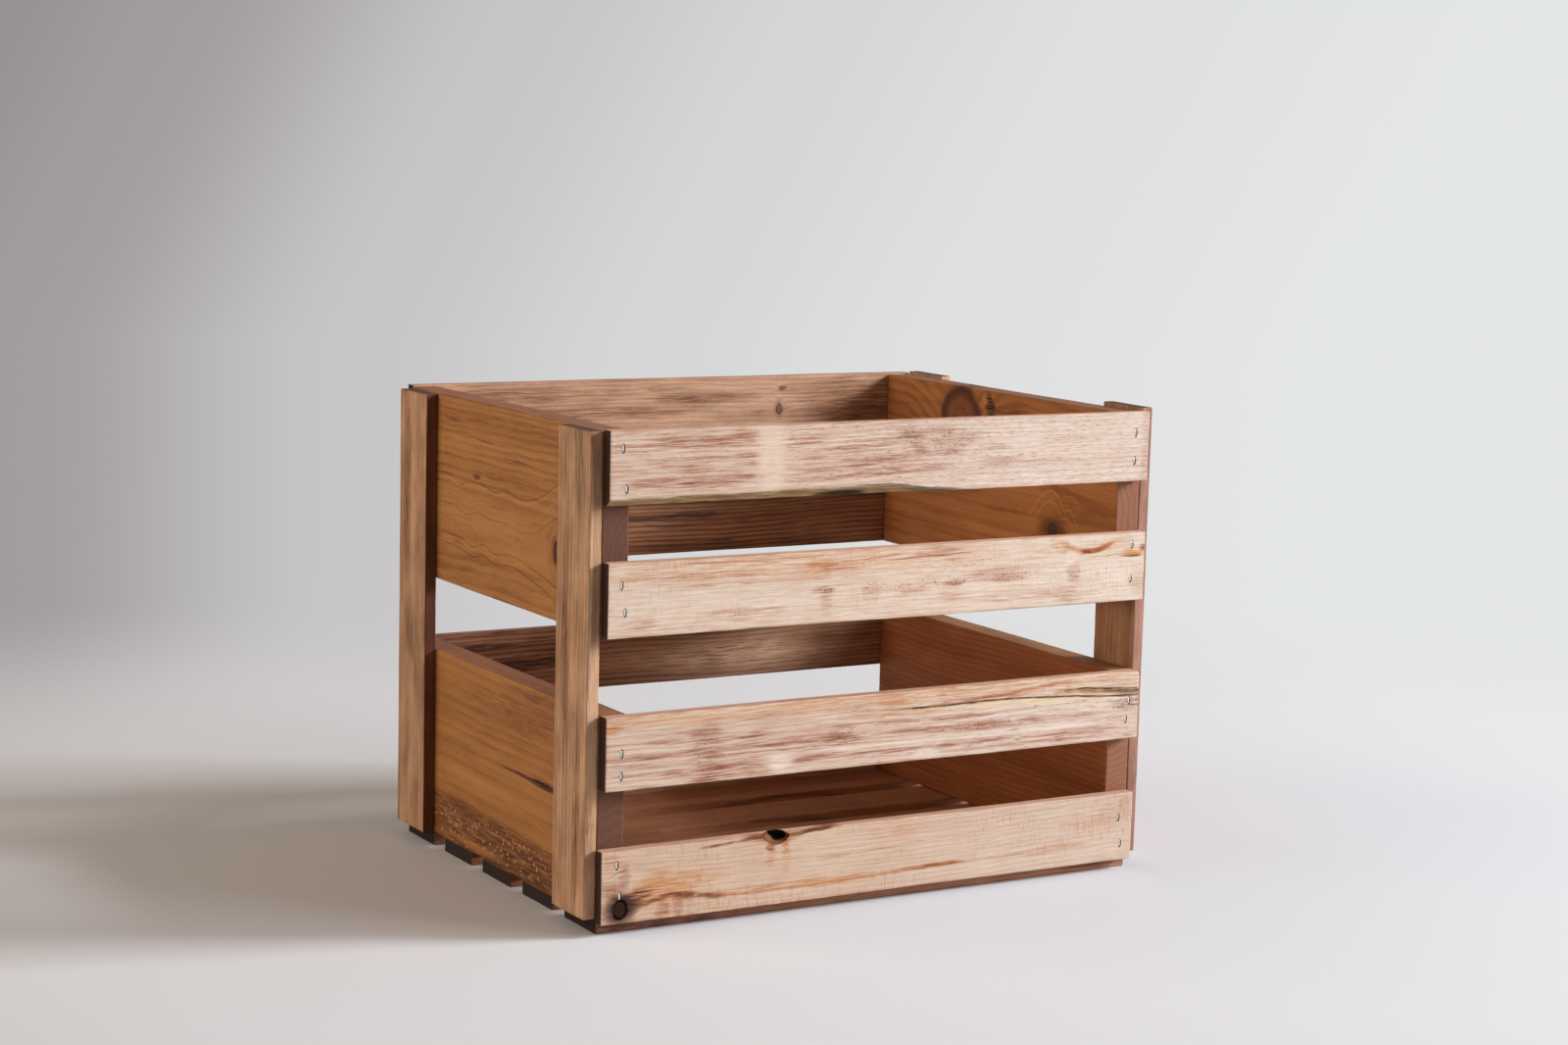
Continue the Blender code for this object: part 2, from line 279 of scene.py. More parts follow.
def join_shapes(shapes):
    """Put several bmeshes into one object."""
    total = bmesh.new()
    for shape in shapes:
        part = bpy.data.meshes.new("part")
        shape.to_mesh(part)
        shape.free()
        total.from_mesh(part)
        bpy.data.meshes.remove(part)
    whole = bpy.data.meshes.new("cutter")
    total.to_mesh(whole)
    total.free()
    return add_object("cutter", whole)


def cut_away(thing, shapes):
    """Take shapes out of a board for good."""
    cutter = join_shapes(shapes)
    removal = thing.modifiers.new("cutter", "BOOLEAN")
    removal.operation = "DIFFERENCE"
    removal.solver = "EXACT"
    removal.object = cutter
    bpy.context.view_layer.update()
    cut = thing.evaluated_get(bpy.context.evaluated_depsgraph_get())
    mesh = bpy.data.meshes.new_from_object(cut)
    thing.modifiers.clear()
    old = thing.data
    mesh.name = old.name
    thing.data = mesh
    bpy.data.meshes.remove(old)
    bpy.data.objects.remove(cutter, do_unlink=True)
    mesh.set_sharp_from_angle(angle=SHARP_ANGLE)


def face_outward(shape):
    """Turn the faces of a closed shape outward."""
    shape.normal_update()
    bmesh.ops.recalc_face_normals(shape, faces=shape.faces)
    if shape.calc_volume(signed=True) < 0:
        bmesh.ops.reverse_faces(shape, faces=shape.faces)


# The oval that a staple's crown is driven into, in mm. Its cutter starts outside the face.
OVAL_DEPTH = 2.0
OVAL_WIDE = 2.3
OVAL_TALL = 5.9
OVAL_START = 1.0

# Shares of its width: that of its floor, and how far its rim is ragged.
OVAL_FLOOR = 0.86
OVAL_RAG = 0.06
OVAL_SEGMENTS = 20


def oval_cutter(place, inward, upright, seed):
    """Slightly ragged oval recess at a place on a face, with its long way along upright."""
    random = np.random.default_rng(seed)
    shape = bmesh.new()
    bmesh.ops.create_cone(shape, cap_ends=True, segments=OVAL_SEGMENTS, radius1=0.5,
                          radius2=0.5 * OVAL_FLOOR, depth=1.0)
    side = inward.cross(upright)
    grow = 1.0 + OVAL_RAG * random.uniform(-1.0, 1.0, len(shape.verts))
    for vert, ragged in zip(shape.verts, grow):
        wide = vert.co.x * OVAL_WIDE * ragged
        tall = vert.co.y * OVAL_TALL * ragged
        down = (vert.co.z + 0.5) * (OVAL_DEPTH + OVAL_START) - OVAL_START
        vert.co = place + (side * wide + upright * tall + inward * down) * MM
    face_outward(shape)
    return shape


# ---------------------------------------------------------------- wood as shader nodes

ENDLESS = 1e4
SKIN_DEEP = 5.0
PATCH_SOFTNESS = 0.6
PIT_BRUISE_AND_SHADE = (70, 50, 42)
PIT_BRUISE_AND_SHADE_HALVES = (3.3, 1.5)

# The figures that noise draws in wood: the size of their waves in mm along, across and
# through the board, a seed, how many finer waves they carry and how strong those are.
FIGURES = {
    "bands": ((420.0, 9.0, 9.0), 1, 3.0, 0.55),
    "clouds": ((38.0, 16.0, 16.0), 2, 3.0, 0.6),
    "fading": ((60.0, 20.0, 20.0), 3, 2.0, 0.5),
    "fibre": ((24.0, 0.6, 0.6), 4, 3.0, 0.65),
    "wander": ((22.0, 5.0, 5.0), 5, 3.0, 0.5),
    "streak": ((55.0, 2.6, 2.6), 6, 2.0, 0.5),
    "saw": ((7.0, 0.8, 0.8), 7, 3.0, 0.7),
    "chatter": ((1.1, 8.0, 8.0), 8, 2.0, 0.5),
    "pores": ((1.2, 1.2, 1.2), 9, 2.0, 0.5),
    "dash": ((17.0, 1.05, 1.05), 10, 3.0, 0.6),
    "sway": ((190.0, 900.0, 900.0), 11, 1.0, 0.5),
    "ripple": ((26.0, 13.0, 13.0), 12, 2.0, 0.5),
    "uneven": ((900.0, 14.0, 14.0), 13, 1.0, 0.5),
    "waver": ((11.0, 9.0, 9.0), 14, 2.0, 0.5),
    "drift": ((70.0, 14.0, 14.0), 15, 2.0, 0.5),
    "ink": ((7.0, 2.5, 2.5), 16, 2.0, 0.5),
    "bare": ((60.0, 25.0, 25.0), 18, 2.0, 0.5),
    "mottle": ((16.0, 2.2, 2.2), 21, 3.0, 0.6),
    "shadow": ((30.0, 30.0, 30.0), 22, 2.0, 0.5),
}


def shade(red, green, blue):
    """A colour given as it looks on screen, 0 to 255, as linear light."""
    result = []
    for value in (red, green, blue):
        value = value / 255.0
        result.append(value / 12.92 if value <= 0.04045 else ((value + 0.055) / 1.055) ** 2.4)
    return (*result, 1.0)


def feed(slot, value):
    """Give a node's input a plain value, a socket or a field."""
    if isinstance(value, Field):
        value = value.socket
    if isinstance(value, bpy.types.NodeSocket):
        slot.id_data.links.new(value, slot)
    else:
        slot.default_value = value


def new_material(name):
    """A material, its node tree and its shader."""
    material = bpy.data.materials.new(name)
    material.use_nodes = True
    tree = material.node_tree
    return material, tree, tree.nodes["Principled BSDF"]


class Field:
    """A number that varies over a surface: shader nodes, written as plain arithmetic."""

    def __init__(self, socket):
        self.socket = socket

    def math(self, operation, *others):
        node = self.socket.id_data.nodes.new("ShaderNodeMath")
        node.operation = operation
        for slot, value in zip(node.inputs, (self, *others)):
            feed(slot, value)
        return Field(node.outputs[0])

    def __add__(self, other):
        return self.math("ADD", other)

    def __sub__(self, other):
        return self.math("SUBTRACT", other)

    def __mul__(self, other):
        return self.math("MULTIPLY", other)

    def size(self):
        return self.math("ABSOLUTE")

    def below(self, limit):
        return self.math("MINIMUM", limit)

    def above(self, limit):
        return self.math("MAXIMUM", limit)

    def smooth(self, start, end, low=0.0, high=1.0):
        """Rise smoothly from low at start to high at end."""
        node = self.socket.id_data.nodes.new("ShaderNodeMapRange")
        node.interpolation_type = "SMOOTHSTEP"
        limits = (("From Min", start), ("From Max", end), ("To Min", low), ("To Max", high))
        for name, value in (("Value", self), *limits):
            feed(node.inputs[name], value)
        return Field(node.outputs["Result"])


class Grain:
    """The material of one board, in that board's own millimetres."""

    def __init__(self, board, look):
        self.board = board
        self.look = look
        self.material, self.tree, self.shader = new_material(f"{board.node}_wood")
        self.light = self.colour = shade(*look["tones"][0])
        self.seed = Vector([board.seed * part for part in (37.1, 11.7, 23.3)])
        self.made = {}
        coordinates = self.node("ShaderNodeTexCoord")
        origin = Vector(board.low) / MM
        place = self.vector("MULTIPLY_ADD", coordinates.outputs["Object"], (1 / MM,) * 3, -origin)
        self.along, self.across, self.through = self.split(place)
        joined = self.node("ShaderNodeCombineXYZ")
        for slot, field in zip(joined.inputs, (self.along, self.across, self.through)):
            feed(slot, field)
        self.place = joined.outputs[0]
        self.normal = self.split(coordinates.outputs["Normal"])
        drift = self.vector("SUBTRACT", self.figure("wander").outputs["Color"], (0.5, 0.5, 0.5))
        self.rough_place = self.vector("MULTIPLY_ADD", drift, (9.0, 2.4, 2.4), self.place)

    def node(self, kind):
        return self.tree.nodes.new(kind)

    def vector(self, operation, *values):
        node = self.node("ShaderNodeVectorMath")
        node.operation = operation
        for slot, value in zip(node.inputs, values):
            feed(slot, value)
        return node.outputs["Value"] if operation == "LENGTH" else node.outputs["Vector"]

    def split(self, socket):
        """The board's along, across and through parts of a vector in the crate's axes."""
        node = self.node("ShaderNodeSeparateXYZ")
        feed(node.inputs[0], socket)
        return [Field(node.outputs[axis]) for axis in self.board.axes]

    def figure(self, name):
        """The noise node of a named figure. A board's look may set the size of the waves."""
        usual, seed, detail, roughness = FIGURES[name]
        scale = tuple(1.0 / wave for wave in self.look.get(f"{name}_size", usual))
        shift = self.seed + Vector([seed * part for part in (5.3, 9.1, 3.7)])
        node = self.node("ShaderNodeTexNoise")
        at = self.vector("MULTIPLY_ADD", self.place, scale, shift)
        for slot, value in (("Vector", at), ("Scale", 1.0), ("Detail", detail),
                            ("Roughness", roughness)):
            feed(node.inputs[slot], value)
        return node

    def noise(self, name):
        """A named figure as noise about 0, from roughly -1 to 1. It is made once per board."""
        if name not in self.made:
            value = Field(self.figure(name).outputs[0])
            self.made[name] = value.math("MULTIPLY_ADD", 3.2, -1.6)
        return self.made[name]

    def attribute(self, name):
        """A number that the board's mesh carries."""
        node = self.node("ShaderNodeAttribute")
        node.attribute_name = name
        return Field(node.outputs["Fac"])

    def mix(self, share, first, second, blend="MIX"):
        node = self.node("ShaderNodeMix")
        node.data_type = "RGBA"
        node.blend_type = blend
        for slot, value in ((0, share), (6, first), (7, second)):
            feed(node.inputs[slot], value)
        return node.outputs[2]

    def tint(self, share, colour):
        """Move the colour towards another."""
        self.colour = self.mix(share, self.colour, shade(*colour))

    def stain(self, share, colour):
        """Soak the wood: at a share of 1 the board's light tone turns into the colour."""
        ratio = [max(0.02, min(1.0, end / start)) for end, start in zip(shade(*colour), self.light)]
        node = self.node("ShaderNodeGamma")
        feed(node.inputs["Color"], (*ratio[:3], 1.0))
        feed(node.inputs["Gamma"], share)
        self.colour = self.mix(1.0, self.colour, node.outputs[0], "MULTIPLY")

    def paint(self, share, colour):
        """Stain the wood with a darker colour, or tint it with a paler one."""
        if shade(*colour)[1] < self.light[1] * 0.8:
            self.stain(share, colour)
        else:
            self.tint(share.below(1.0), colour)

    def spread(self, a, b, half_a, half_b, turn=0.0, t=0.0, half_t=ENDLESS, rough=True):
        """Distance from an ellipse's centre, 1 at its outline. turn is in degrees."""
        node = self.node("ShaderNodeMapping")
        node.vector_type = "TEXTURE"
        feed(node.inputs["Location"], (a, b, t))
        feed(node.inputs["Rotation"], (0.0, 0.0, math.radians(turn)))
        feed(node.inputs["Scale"], (half_a, half_b, half_t))
        feed(node.inputs["Vector"], self.rough_place if rough else self.place)
        return Field(self.vector("LENGTH", node.outputs[0]))

    def curve(self, points):
        """A height across the board as a smooth function of the way along it."""
        node = self.node("ShaderNodeFloatCurve")
        start, end = points[0][0], points[-1][0]
        size = self.board.size[1]
        line = node.mapping.curves[0]
        places = [((a - start) / (end - start), b / size) for a, b in points]
        line.points[0].location = places[0]
        line.points[-1].location = places[-1]
        for place in places[1:-1]:
            line.points.new(*place)
        node.mapping.update()
        feed(node.inputs["Value"], (self.along - start) * (1.0 / (end - start)))
        return Field(node.outputs[0]) * size


@dataclass
class Knot:
    """A knot: its place and half sizes, its colours, how far it pushes the growth rings
    aside, its halo in half sizes, how many rings it has and how strongly it shows."""

    a: float
    b: float
    half_a: float
    half_b: float
    core: tuple
    ring: tuple
    halo: tuple
    push: float
    halo_a: float = 2.2
    halo_b: float = 1.9
    rings: float = 3.0
    strength: float = 1.0


def growth_rings(grain):
    """Late wood, 0 to 1: shells round a pith line, pushed aside by the knots."""
    look = grain.look
    pith_b, pith_t = look["pith"]
    sway = grain.noise("sway")
    b = grain.across - pith_b + sway * look["sway"]
    t = grain.through - pith_t + sway * (0.5 * look["sway"])
    radius = (b * b + t * t).math("SQRT") + grain.noise("ripple") * look["ripple"]
    for knot in look["knots"]:
        near = grain.spread(knot.a, knot.b, knot.half_a * 3.6, knot.half_b * 3.2, rough=False)
        radius = radius + near.smooth(0.0, 1.0, 1.0, 0.0) * knot.push
    phase = (radius * (1.0 / look["spacing"]) + grain.noise("uneven") * 0.5).math("FRACT")
    return phase.smooth(0.35, 0.86) * phase.smooth(0.9, 1.0, 1.0, 0.0)


def add_growth(grain, late):
    """Light and dark wood, growth rings, fibres, streaks and flecks."""
    look = grain.look
    dark = grain.noise("bands") * look["bands"] + grain.noise("clouds") * look["clouds"] + 0.45
    grain.tint(dark.above(0.0).below(1.0), look["tones"][1])
    fading = grain.noise("fading").smooth(-0.8, 0.8, 0.35, 1.0)
    grain.stain(late * fading * look["ring_strength"], look["ring"])
    fibre = grain.noise("fibre")
    grain.stain(fibre.smooth(-0.3, 1.0, 0.0, look["fibre"]), look["fibre_tone"])
    grain.tint(fibre.smooth(-0.3, -1.1, 0.0, look["fibre"] * 0.6), look["pale_tone"])
    grain.stain(grain.noise("streak").smooth(0.25, 1.1, 0.0, look["streak"]), look["ring"])
    drift = grain.noise("drift").smooth(-0.5, 0.7, 0.3, 1.0)
    flecks = grain.noise("dash").smooth(0.1, 1.0) * drift
    grain.stain(flecks * look["flecks"], look["fleck_tone"])


def add_saw_marks(grain):
    """Fuzz that the saw raised and, on some boards, the ripples that its teeth left."""
    look = grain.look
    saw = grain.noise("saw")
    roughness = grain.along.smooth(*look["saw_from"], 0.35, 1.0) * look["saw"]
    grain.stain(saw.smooth(0.1, 1.0) * roughness, look["saw_tone"])
    grain.tint(saw.smooth(-0.2, -1.1) * roughness, look["pale_tone"])
    if look["chatter"]:
        bare = grain.noise("bare").smooth(-0.5, 0.6)
        ripples = grain.noise("chatter").smooth(-0.1, 1.0) * bare
        grain.stain(ripples * look["chatter"], look["ring"])


def add_patches(grain):
    """Soft ellipses of stain, broken up by the grain. Patches of one colour share a layer."""
    breakup = (grain.noise("fibre") * 0.4 + grain.noise("dash")).smooth(-0.6, 0.55, 0.14, 1.18)
    layers = {}
    for a, b, half_a, half_b, turn, colour, strength, *own in grain.look["patches"]:
        soft = own[0] if own else PATCH_SOFTNESS
        inside = grain.spread(a, b, half_a, half_b, turn, 0.0, SKIN_DEEP)
        mask = inside.smooth(1.0 - soft, 1.0 + soft, strength, 0.0)
        layers[colour] = layers[colour] + mask if colour in layers else mask
    for colour, amount in layers.items():
        grain.paint(amount * breakup, colour)


def add_veins(grain):
    """Drawn lines, now thick and now thin, that fade at both ends."""
    waver = grain.noise("waver")
    ink = grain.noise("ink").smooth(-0.9, 0.4, 0.35, 1.1)
    for points, width, colour, strength in grain.look["veins"]:
        away = (grain.across - grain.curve(points) + waver * 0.35).size()
        away = away * waver.smooth(-1.0, 1.0, 1.5, 0.75)
        line = away.smooth(width * 0.15, width, 1.0, 0.0) * ink
        start, end = points[0][0], points[-1][0]
        fade = min(16.0, (end - start) * 0.35)
        line = line * grain.along.smooth(start, start + fade)
        line = line * grain.along.smooth(end - fade, end, 1.0, 0.0)
        grain.paint(line * strength, colour)


def add_knot(grain, knot):
    """A knot: halo, dark bark ring, and a core with its own fine rings."""
    strength = knot.strength
    halo = grain.spread(knot.a, knot.b, knot.half_a * knot.halo_a, knot.half_b * knot.halo_b)
    grain.stain(halo.smooth(0.1, 1.2, 0.95 * strength, 0.0), knot.halo)
    inside = grain.spread(knot.a, knot.b, knot.half_a, knot.half_b, rough=False)
    inside = inside + grain.noise("waver") * 0.07
    core = inside.smooth(0.95, 1.12, 1.0, 0.0)
    grain.tint(core * strength * 0.85, knot.core)
    rings = (inside * knot.rings).math("FRACT").smooth(0.4, 0.95)
    grain.tint(rings * core * 0.45 * strength, knot.ring)
    edge = inside.smooth(0.66, 0.92) * inside.smooth(1.0, 1.25, 1.0, 0.0)
    grain.tint(edge * strength, knot.ring)
    grain.relief = grain.relief - edge * 0.3 + core * 0.1


def add_specks(grain, a, b, half_a, half_b, size, colour, strength, density):
    """A scatter of small dots inside an ellipse."""
    node = grain.node("ShaderNodeTexVoronoi")
    scale = (1 / size[0], 1 / size[1], 0.0)
    feed(node.inputs["Scale"], 1.0)
    feed(node.inputs["Vector"], grain.vector("MULTIPLY_ADD", grain.place, scale, (0.3, 0.7, 0.0)))
    cell = grain.node("ShaderNodeSeparateColor")
    feed(cell.inputs[0], node.outputs["Color"])
    chosen = Field(cell.outputs[0]).math("LESS_THAN", density)
    dot = Field(node.outputs["Distance"]).smooth(0.2, 0.38, 1.0, 0.0) * chosen
    area = grain.spread(a, b, half_a, half_b, t=0.0, half_t=SKIN_DEEP).smooth(0.7, 1.2, 1.0, 0.0)
    grain.paint(dot * area * strength, colour)


def add_wane(grain):
    """The bark side of the log: olive tan, with a dark line where it meets the sawn face."""
    bark = grain.attribute("bark")
    skin = bark.smooth(-0.5, -0.15)
    mottle = grain.noise("mottle")
    flesh = grain.mix(mottle.smooth(-0.8, 0.9), shade(214, 190, 146), shade(146, 118, 82))
    grain.colour = grain.mix(skin, grain.colour, flesh)
    burnt = grain.spread(*BURNT_BARK).smooth(0.5, 1.2, 0.95, 0.0)
    grain.tint(burnt * skin, (34, 28, 26))
    # The dark line along the crease is partly the bark's edge and partly painted shade where the bark
    # turns away from the light.
    line = bark.smooth(-1.5, -0.55) * bark.smooth(-0.5, -0.1, 1.0, 0.0)
    dark = grain.along.smooth(80.0, 190.0, 0.2, 0.95)
    grain.tint(line * dark * grain.noise("shadow").smooth(-0.9, 0.4, 0.4, 1.0), (62, 46, 34))
    tail = grain.spread(*BARK_TAIL).smooth(0.5, 1.2, 0.8, 0.0)
    grain.tint(tail, (96, 82, 66))
    grain.relief = grain.relief + skin * mottle * 0.25


def add_staple_bruises_and_shade(grain, hits):
    """Dark wood in and round the recesses where staples went in: partly crushed fibre, partly painted
    shade in the recess.
    """
    for mouth, _, upright in hits:
        a, b, t = grain.board.local(mouth)
        half = PIT_BRUISE_AND_SHADE_HALVES if upright[grain.board.axes[0]] else PIT_BRUISE_AND_SHADE_HALVES[::-1]
        near = grain.spread(a, b, *half, 0.0, t, SKIN_DEEP, rough=False)
        grain.tint(near.smooth(0.6, 1.05, 0.8, 0.0), PIT_BRUISE_AND_SHADE)


def add_hollows(grain, gloss):
    """Dark, dull places. Returns the gloss that is left."""
    for a, b, t, half_a, half_b, half_t, colour, strength in grain.look["hollows"]:
        inside = grain.spread(a, b, half_a, half_b, 0.0, t, half_t).smooth(0.92, 1.1, 1.0, 0.0)
        grain.tint(inside * strength, colour)
        gloss = gloss * (inside * -0.9 + 1.0)
    return gloss


def add_edges_and_ends(grain, late):
    """The darker narrow edges of a board, partly their own stain and partly painted shade, and the end
    grain that soaks up more than its faces.
    """
    look = grain.look
    # Narrow edges darkened: partly the wood's own stain, partly painted shade.
    if "edge_stain_and_shade" in look:
        edge = grain.normal[1].size().smooth(0.6, 0.9, 0.0, look["edge_share"])
        grain.stain(edge, look["edge_stain_and_shade"])
    plain, ring, pore = ([value * share for value in look["end"]] for share in (1.0, 0.6, 0.5))
    ends = grain.mix(late * 0.25, shade(*plain), shade(*ring))
    ends = grain.mix(grain.noise("pores").smooth(0.0, 1.0, 0.0, 0.5), ends, shade(*pore))
    grain.colour = grain.mix(grain.normal[0].size().smooth(0.55, 0.9), grain.colour, ends)


def make_wood(board, look, hits):
    """Build a board's material from its look and the places where staples went in."""
    grain = Grain(board, look)
    late = growth_rings(grain)
    add_growth(grain, late)
    add_saw_marks(grain)
    add_patches(grain)
    add_veins(grain)
    fibre = grain.noise("fibre")
    saw_relief = grain.noise("saw") * look["saw_relief"]
    grain.relief = fibre * 0.06 + saw_relief + grain.noise("dash") * 0.05 - late * 0.04
    for knot in look["knots"]:
        add_knot(grain, knot)
    for speck in look["specks"]:
        add_specks(grain, *speck)
    if look["wane"]:
        add_wane(grain)
    # Painted shade along the arrises.
    grain.stain(grain.attribute("arris_shade").smooth(0.15, 0.9, 0.0, 0.5), look["fibre_tone"])
    add_staple_bruises_and_shade(grain, hits)
    gloss = add_hollows(grain, fibre.smooth(-1.0, 1.0, 0.38, 0.26))
    add_edges_and_ends(grain, late)
    bump = grain.node("ShaderNodeBump")
    feed(bump.inputs["Strength"], 0.8)
    feed(bump.inputs["Distance"], MM)
    feed(bump.inputs["Height"], grain.relief)
    inputs = grain.shader.inputs
    feed(inputs["Base Color"], grain.colour)
    feed(inputs["Roughness"], fibre * 0.05 + grain.noise("clouds") * 0.04 + look["roughness"])
    feed(inputs["Specular IOR Level"], gloss)
    feed(inputs["Normal"], bump.outputs["Normal"])
    return grain.material


# ---------------------------------------------------------------- the boards' looks

PINK_BROWN = (178, 132, 114)
RUST = (162, 115, 96)
HONEY = (200, 138, 88)
UMBER = (118, 76, 56)
PALE = (236, 220, 206)
GOLD = (216, 160, 96)
CONTOUR = (150, 98, 52)
RESIN = (208, 150, 88)

# Tones are the light and the dark wood. pith is where the growth rings' middle lies, across
# and through the board, and spacing, sway and ripple are the rings' own, all in mm. saw_from
# is the stretch along the board over which the saw's fuzz comes in, and worn its rubbed
# corners. The rest are colours and strengths.
PLAIN = {
    "bands": 0.3, "clouds": 0.25, "ring_strength": 0.4, "sway": 5.0, "ripple": 0.5,
    "fibre": 0.35, "streak": 0.3, "flecks": 0.35, "saw": 0.2, "saw_from": (-2.0, -1.0),
    "saw_relief": 0.07, "chatter": 0.0, "roughness": 0.66, "wane": False, "patches": (),
    "veins": (), "knots": (), "specks": (), "hollows": (), "worn": (),
}
SIDE = {
    **PLAIN,
    "tones": ((230, 214, 201), (204, 174, 155)),
    "ring": (184, 140, 120), "ring_strength": 0.3, "pith": (-70.0, 30.0), "spacing": 3.1,
    "fibre_tone": (186, 146, 128), "fibre": 0.55, "streak": 0.35, "saw": 0.4,
    "saw_tone": (140, 104, 90), "flecks": 0.5, "fleck_tone": (170, 122, 104),
    # The slats' darker top and bottom faces are partly painted shade.
    "end": (58, 32, 22), "edge_stain_and_shade": (190, 146, 124), "edge_share": 0.5,
}
REAR = {
    **SIDE,
    "tones": ((212, 172, 142), (156, 116, 90)), "ring": (128, 88, 64), "ring_strength": 0.32,
    "fibre_tone": (168, 124, 98), "streak": 0.4, "bands": 0.45, "fleck_tone": (130, 88, 64),
}
END = {
    **PLAIN,
    "tones": ((206, 150, 88), (168, 110, 60)),
    "ring": (132, 80, 40), "ring_strength": 0.45, "pith": (-80.0, 40.0), "spacing": 4.0,
    "fibre_tone": (166, 108, 66), "saw": 0.08, "saw_tone": (170, 120, 80),
    "pale_tone": (220, 166, 104), "end": (104, 65, 47), "saw_relief": 0.03, "flecks": 0.25,
    # The darker top and bottom edges are partly painted shade.
    "edge_stain_and_shade": (150, 102, 74), "edge_share": 0.9,
}
POST = {
    **PLAIN,
    "tones": ((230, 188, 148), (172, 126, 94)),
    "ring": (132, 92, 66), "ring_strength": 0.28, "pith": (-60.0, 30.0), "spacing": 4.2,
    "fibre_tone": (172, 126, 94), "fibre": 0.38, "streak": 0.38, "saw": 0.15, "clouds": 0.6,
    "bands": 0.4, "flecks": 0.28, "end": (70, 48, 38),
}
BOTTOM = {
    **PLAIN,
    "tones": ((200, 138, 100), (146, 92, 62)),
    "ring": (104, 62, 40), "ring_strength": 0.42, "pith": (-60.0, 30.0), "spacing": 3.6,
    "fibre_tone": (140, 94, 68), "fibre": 0.45, "streak": 0.5, "end": (46, 29, 22),
}

# What a board's name says of it: its base look, its material slot and the way its grain
# runs. The first word that the name holds counts.
FAMILIES = {
    "post": (POST, "post_wood", Z),
    "end_board": (END, "end_wood", Y),
    "bottom": (BOTTOM, "bottom_wood", X),
    "rear": (REAR, "side_wood", X),
    "front": (SIDE, "side_wood", X),
}


def ridge(points, offset, pale, dark):
    """A pale vein and the dark one that runs beside it, offset across the board."""
    beside = tuple((a, b + offset) for a, b in points)
    return (points, *pale), (beside, *dark)


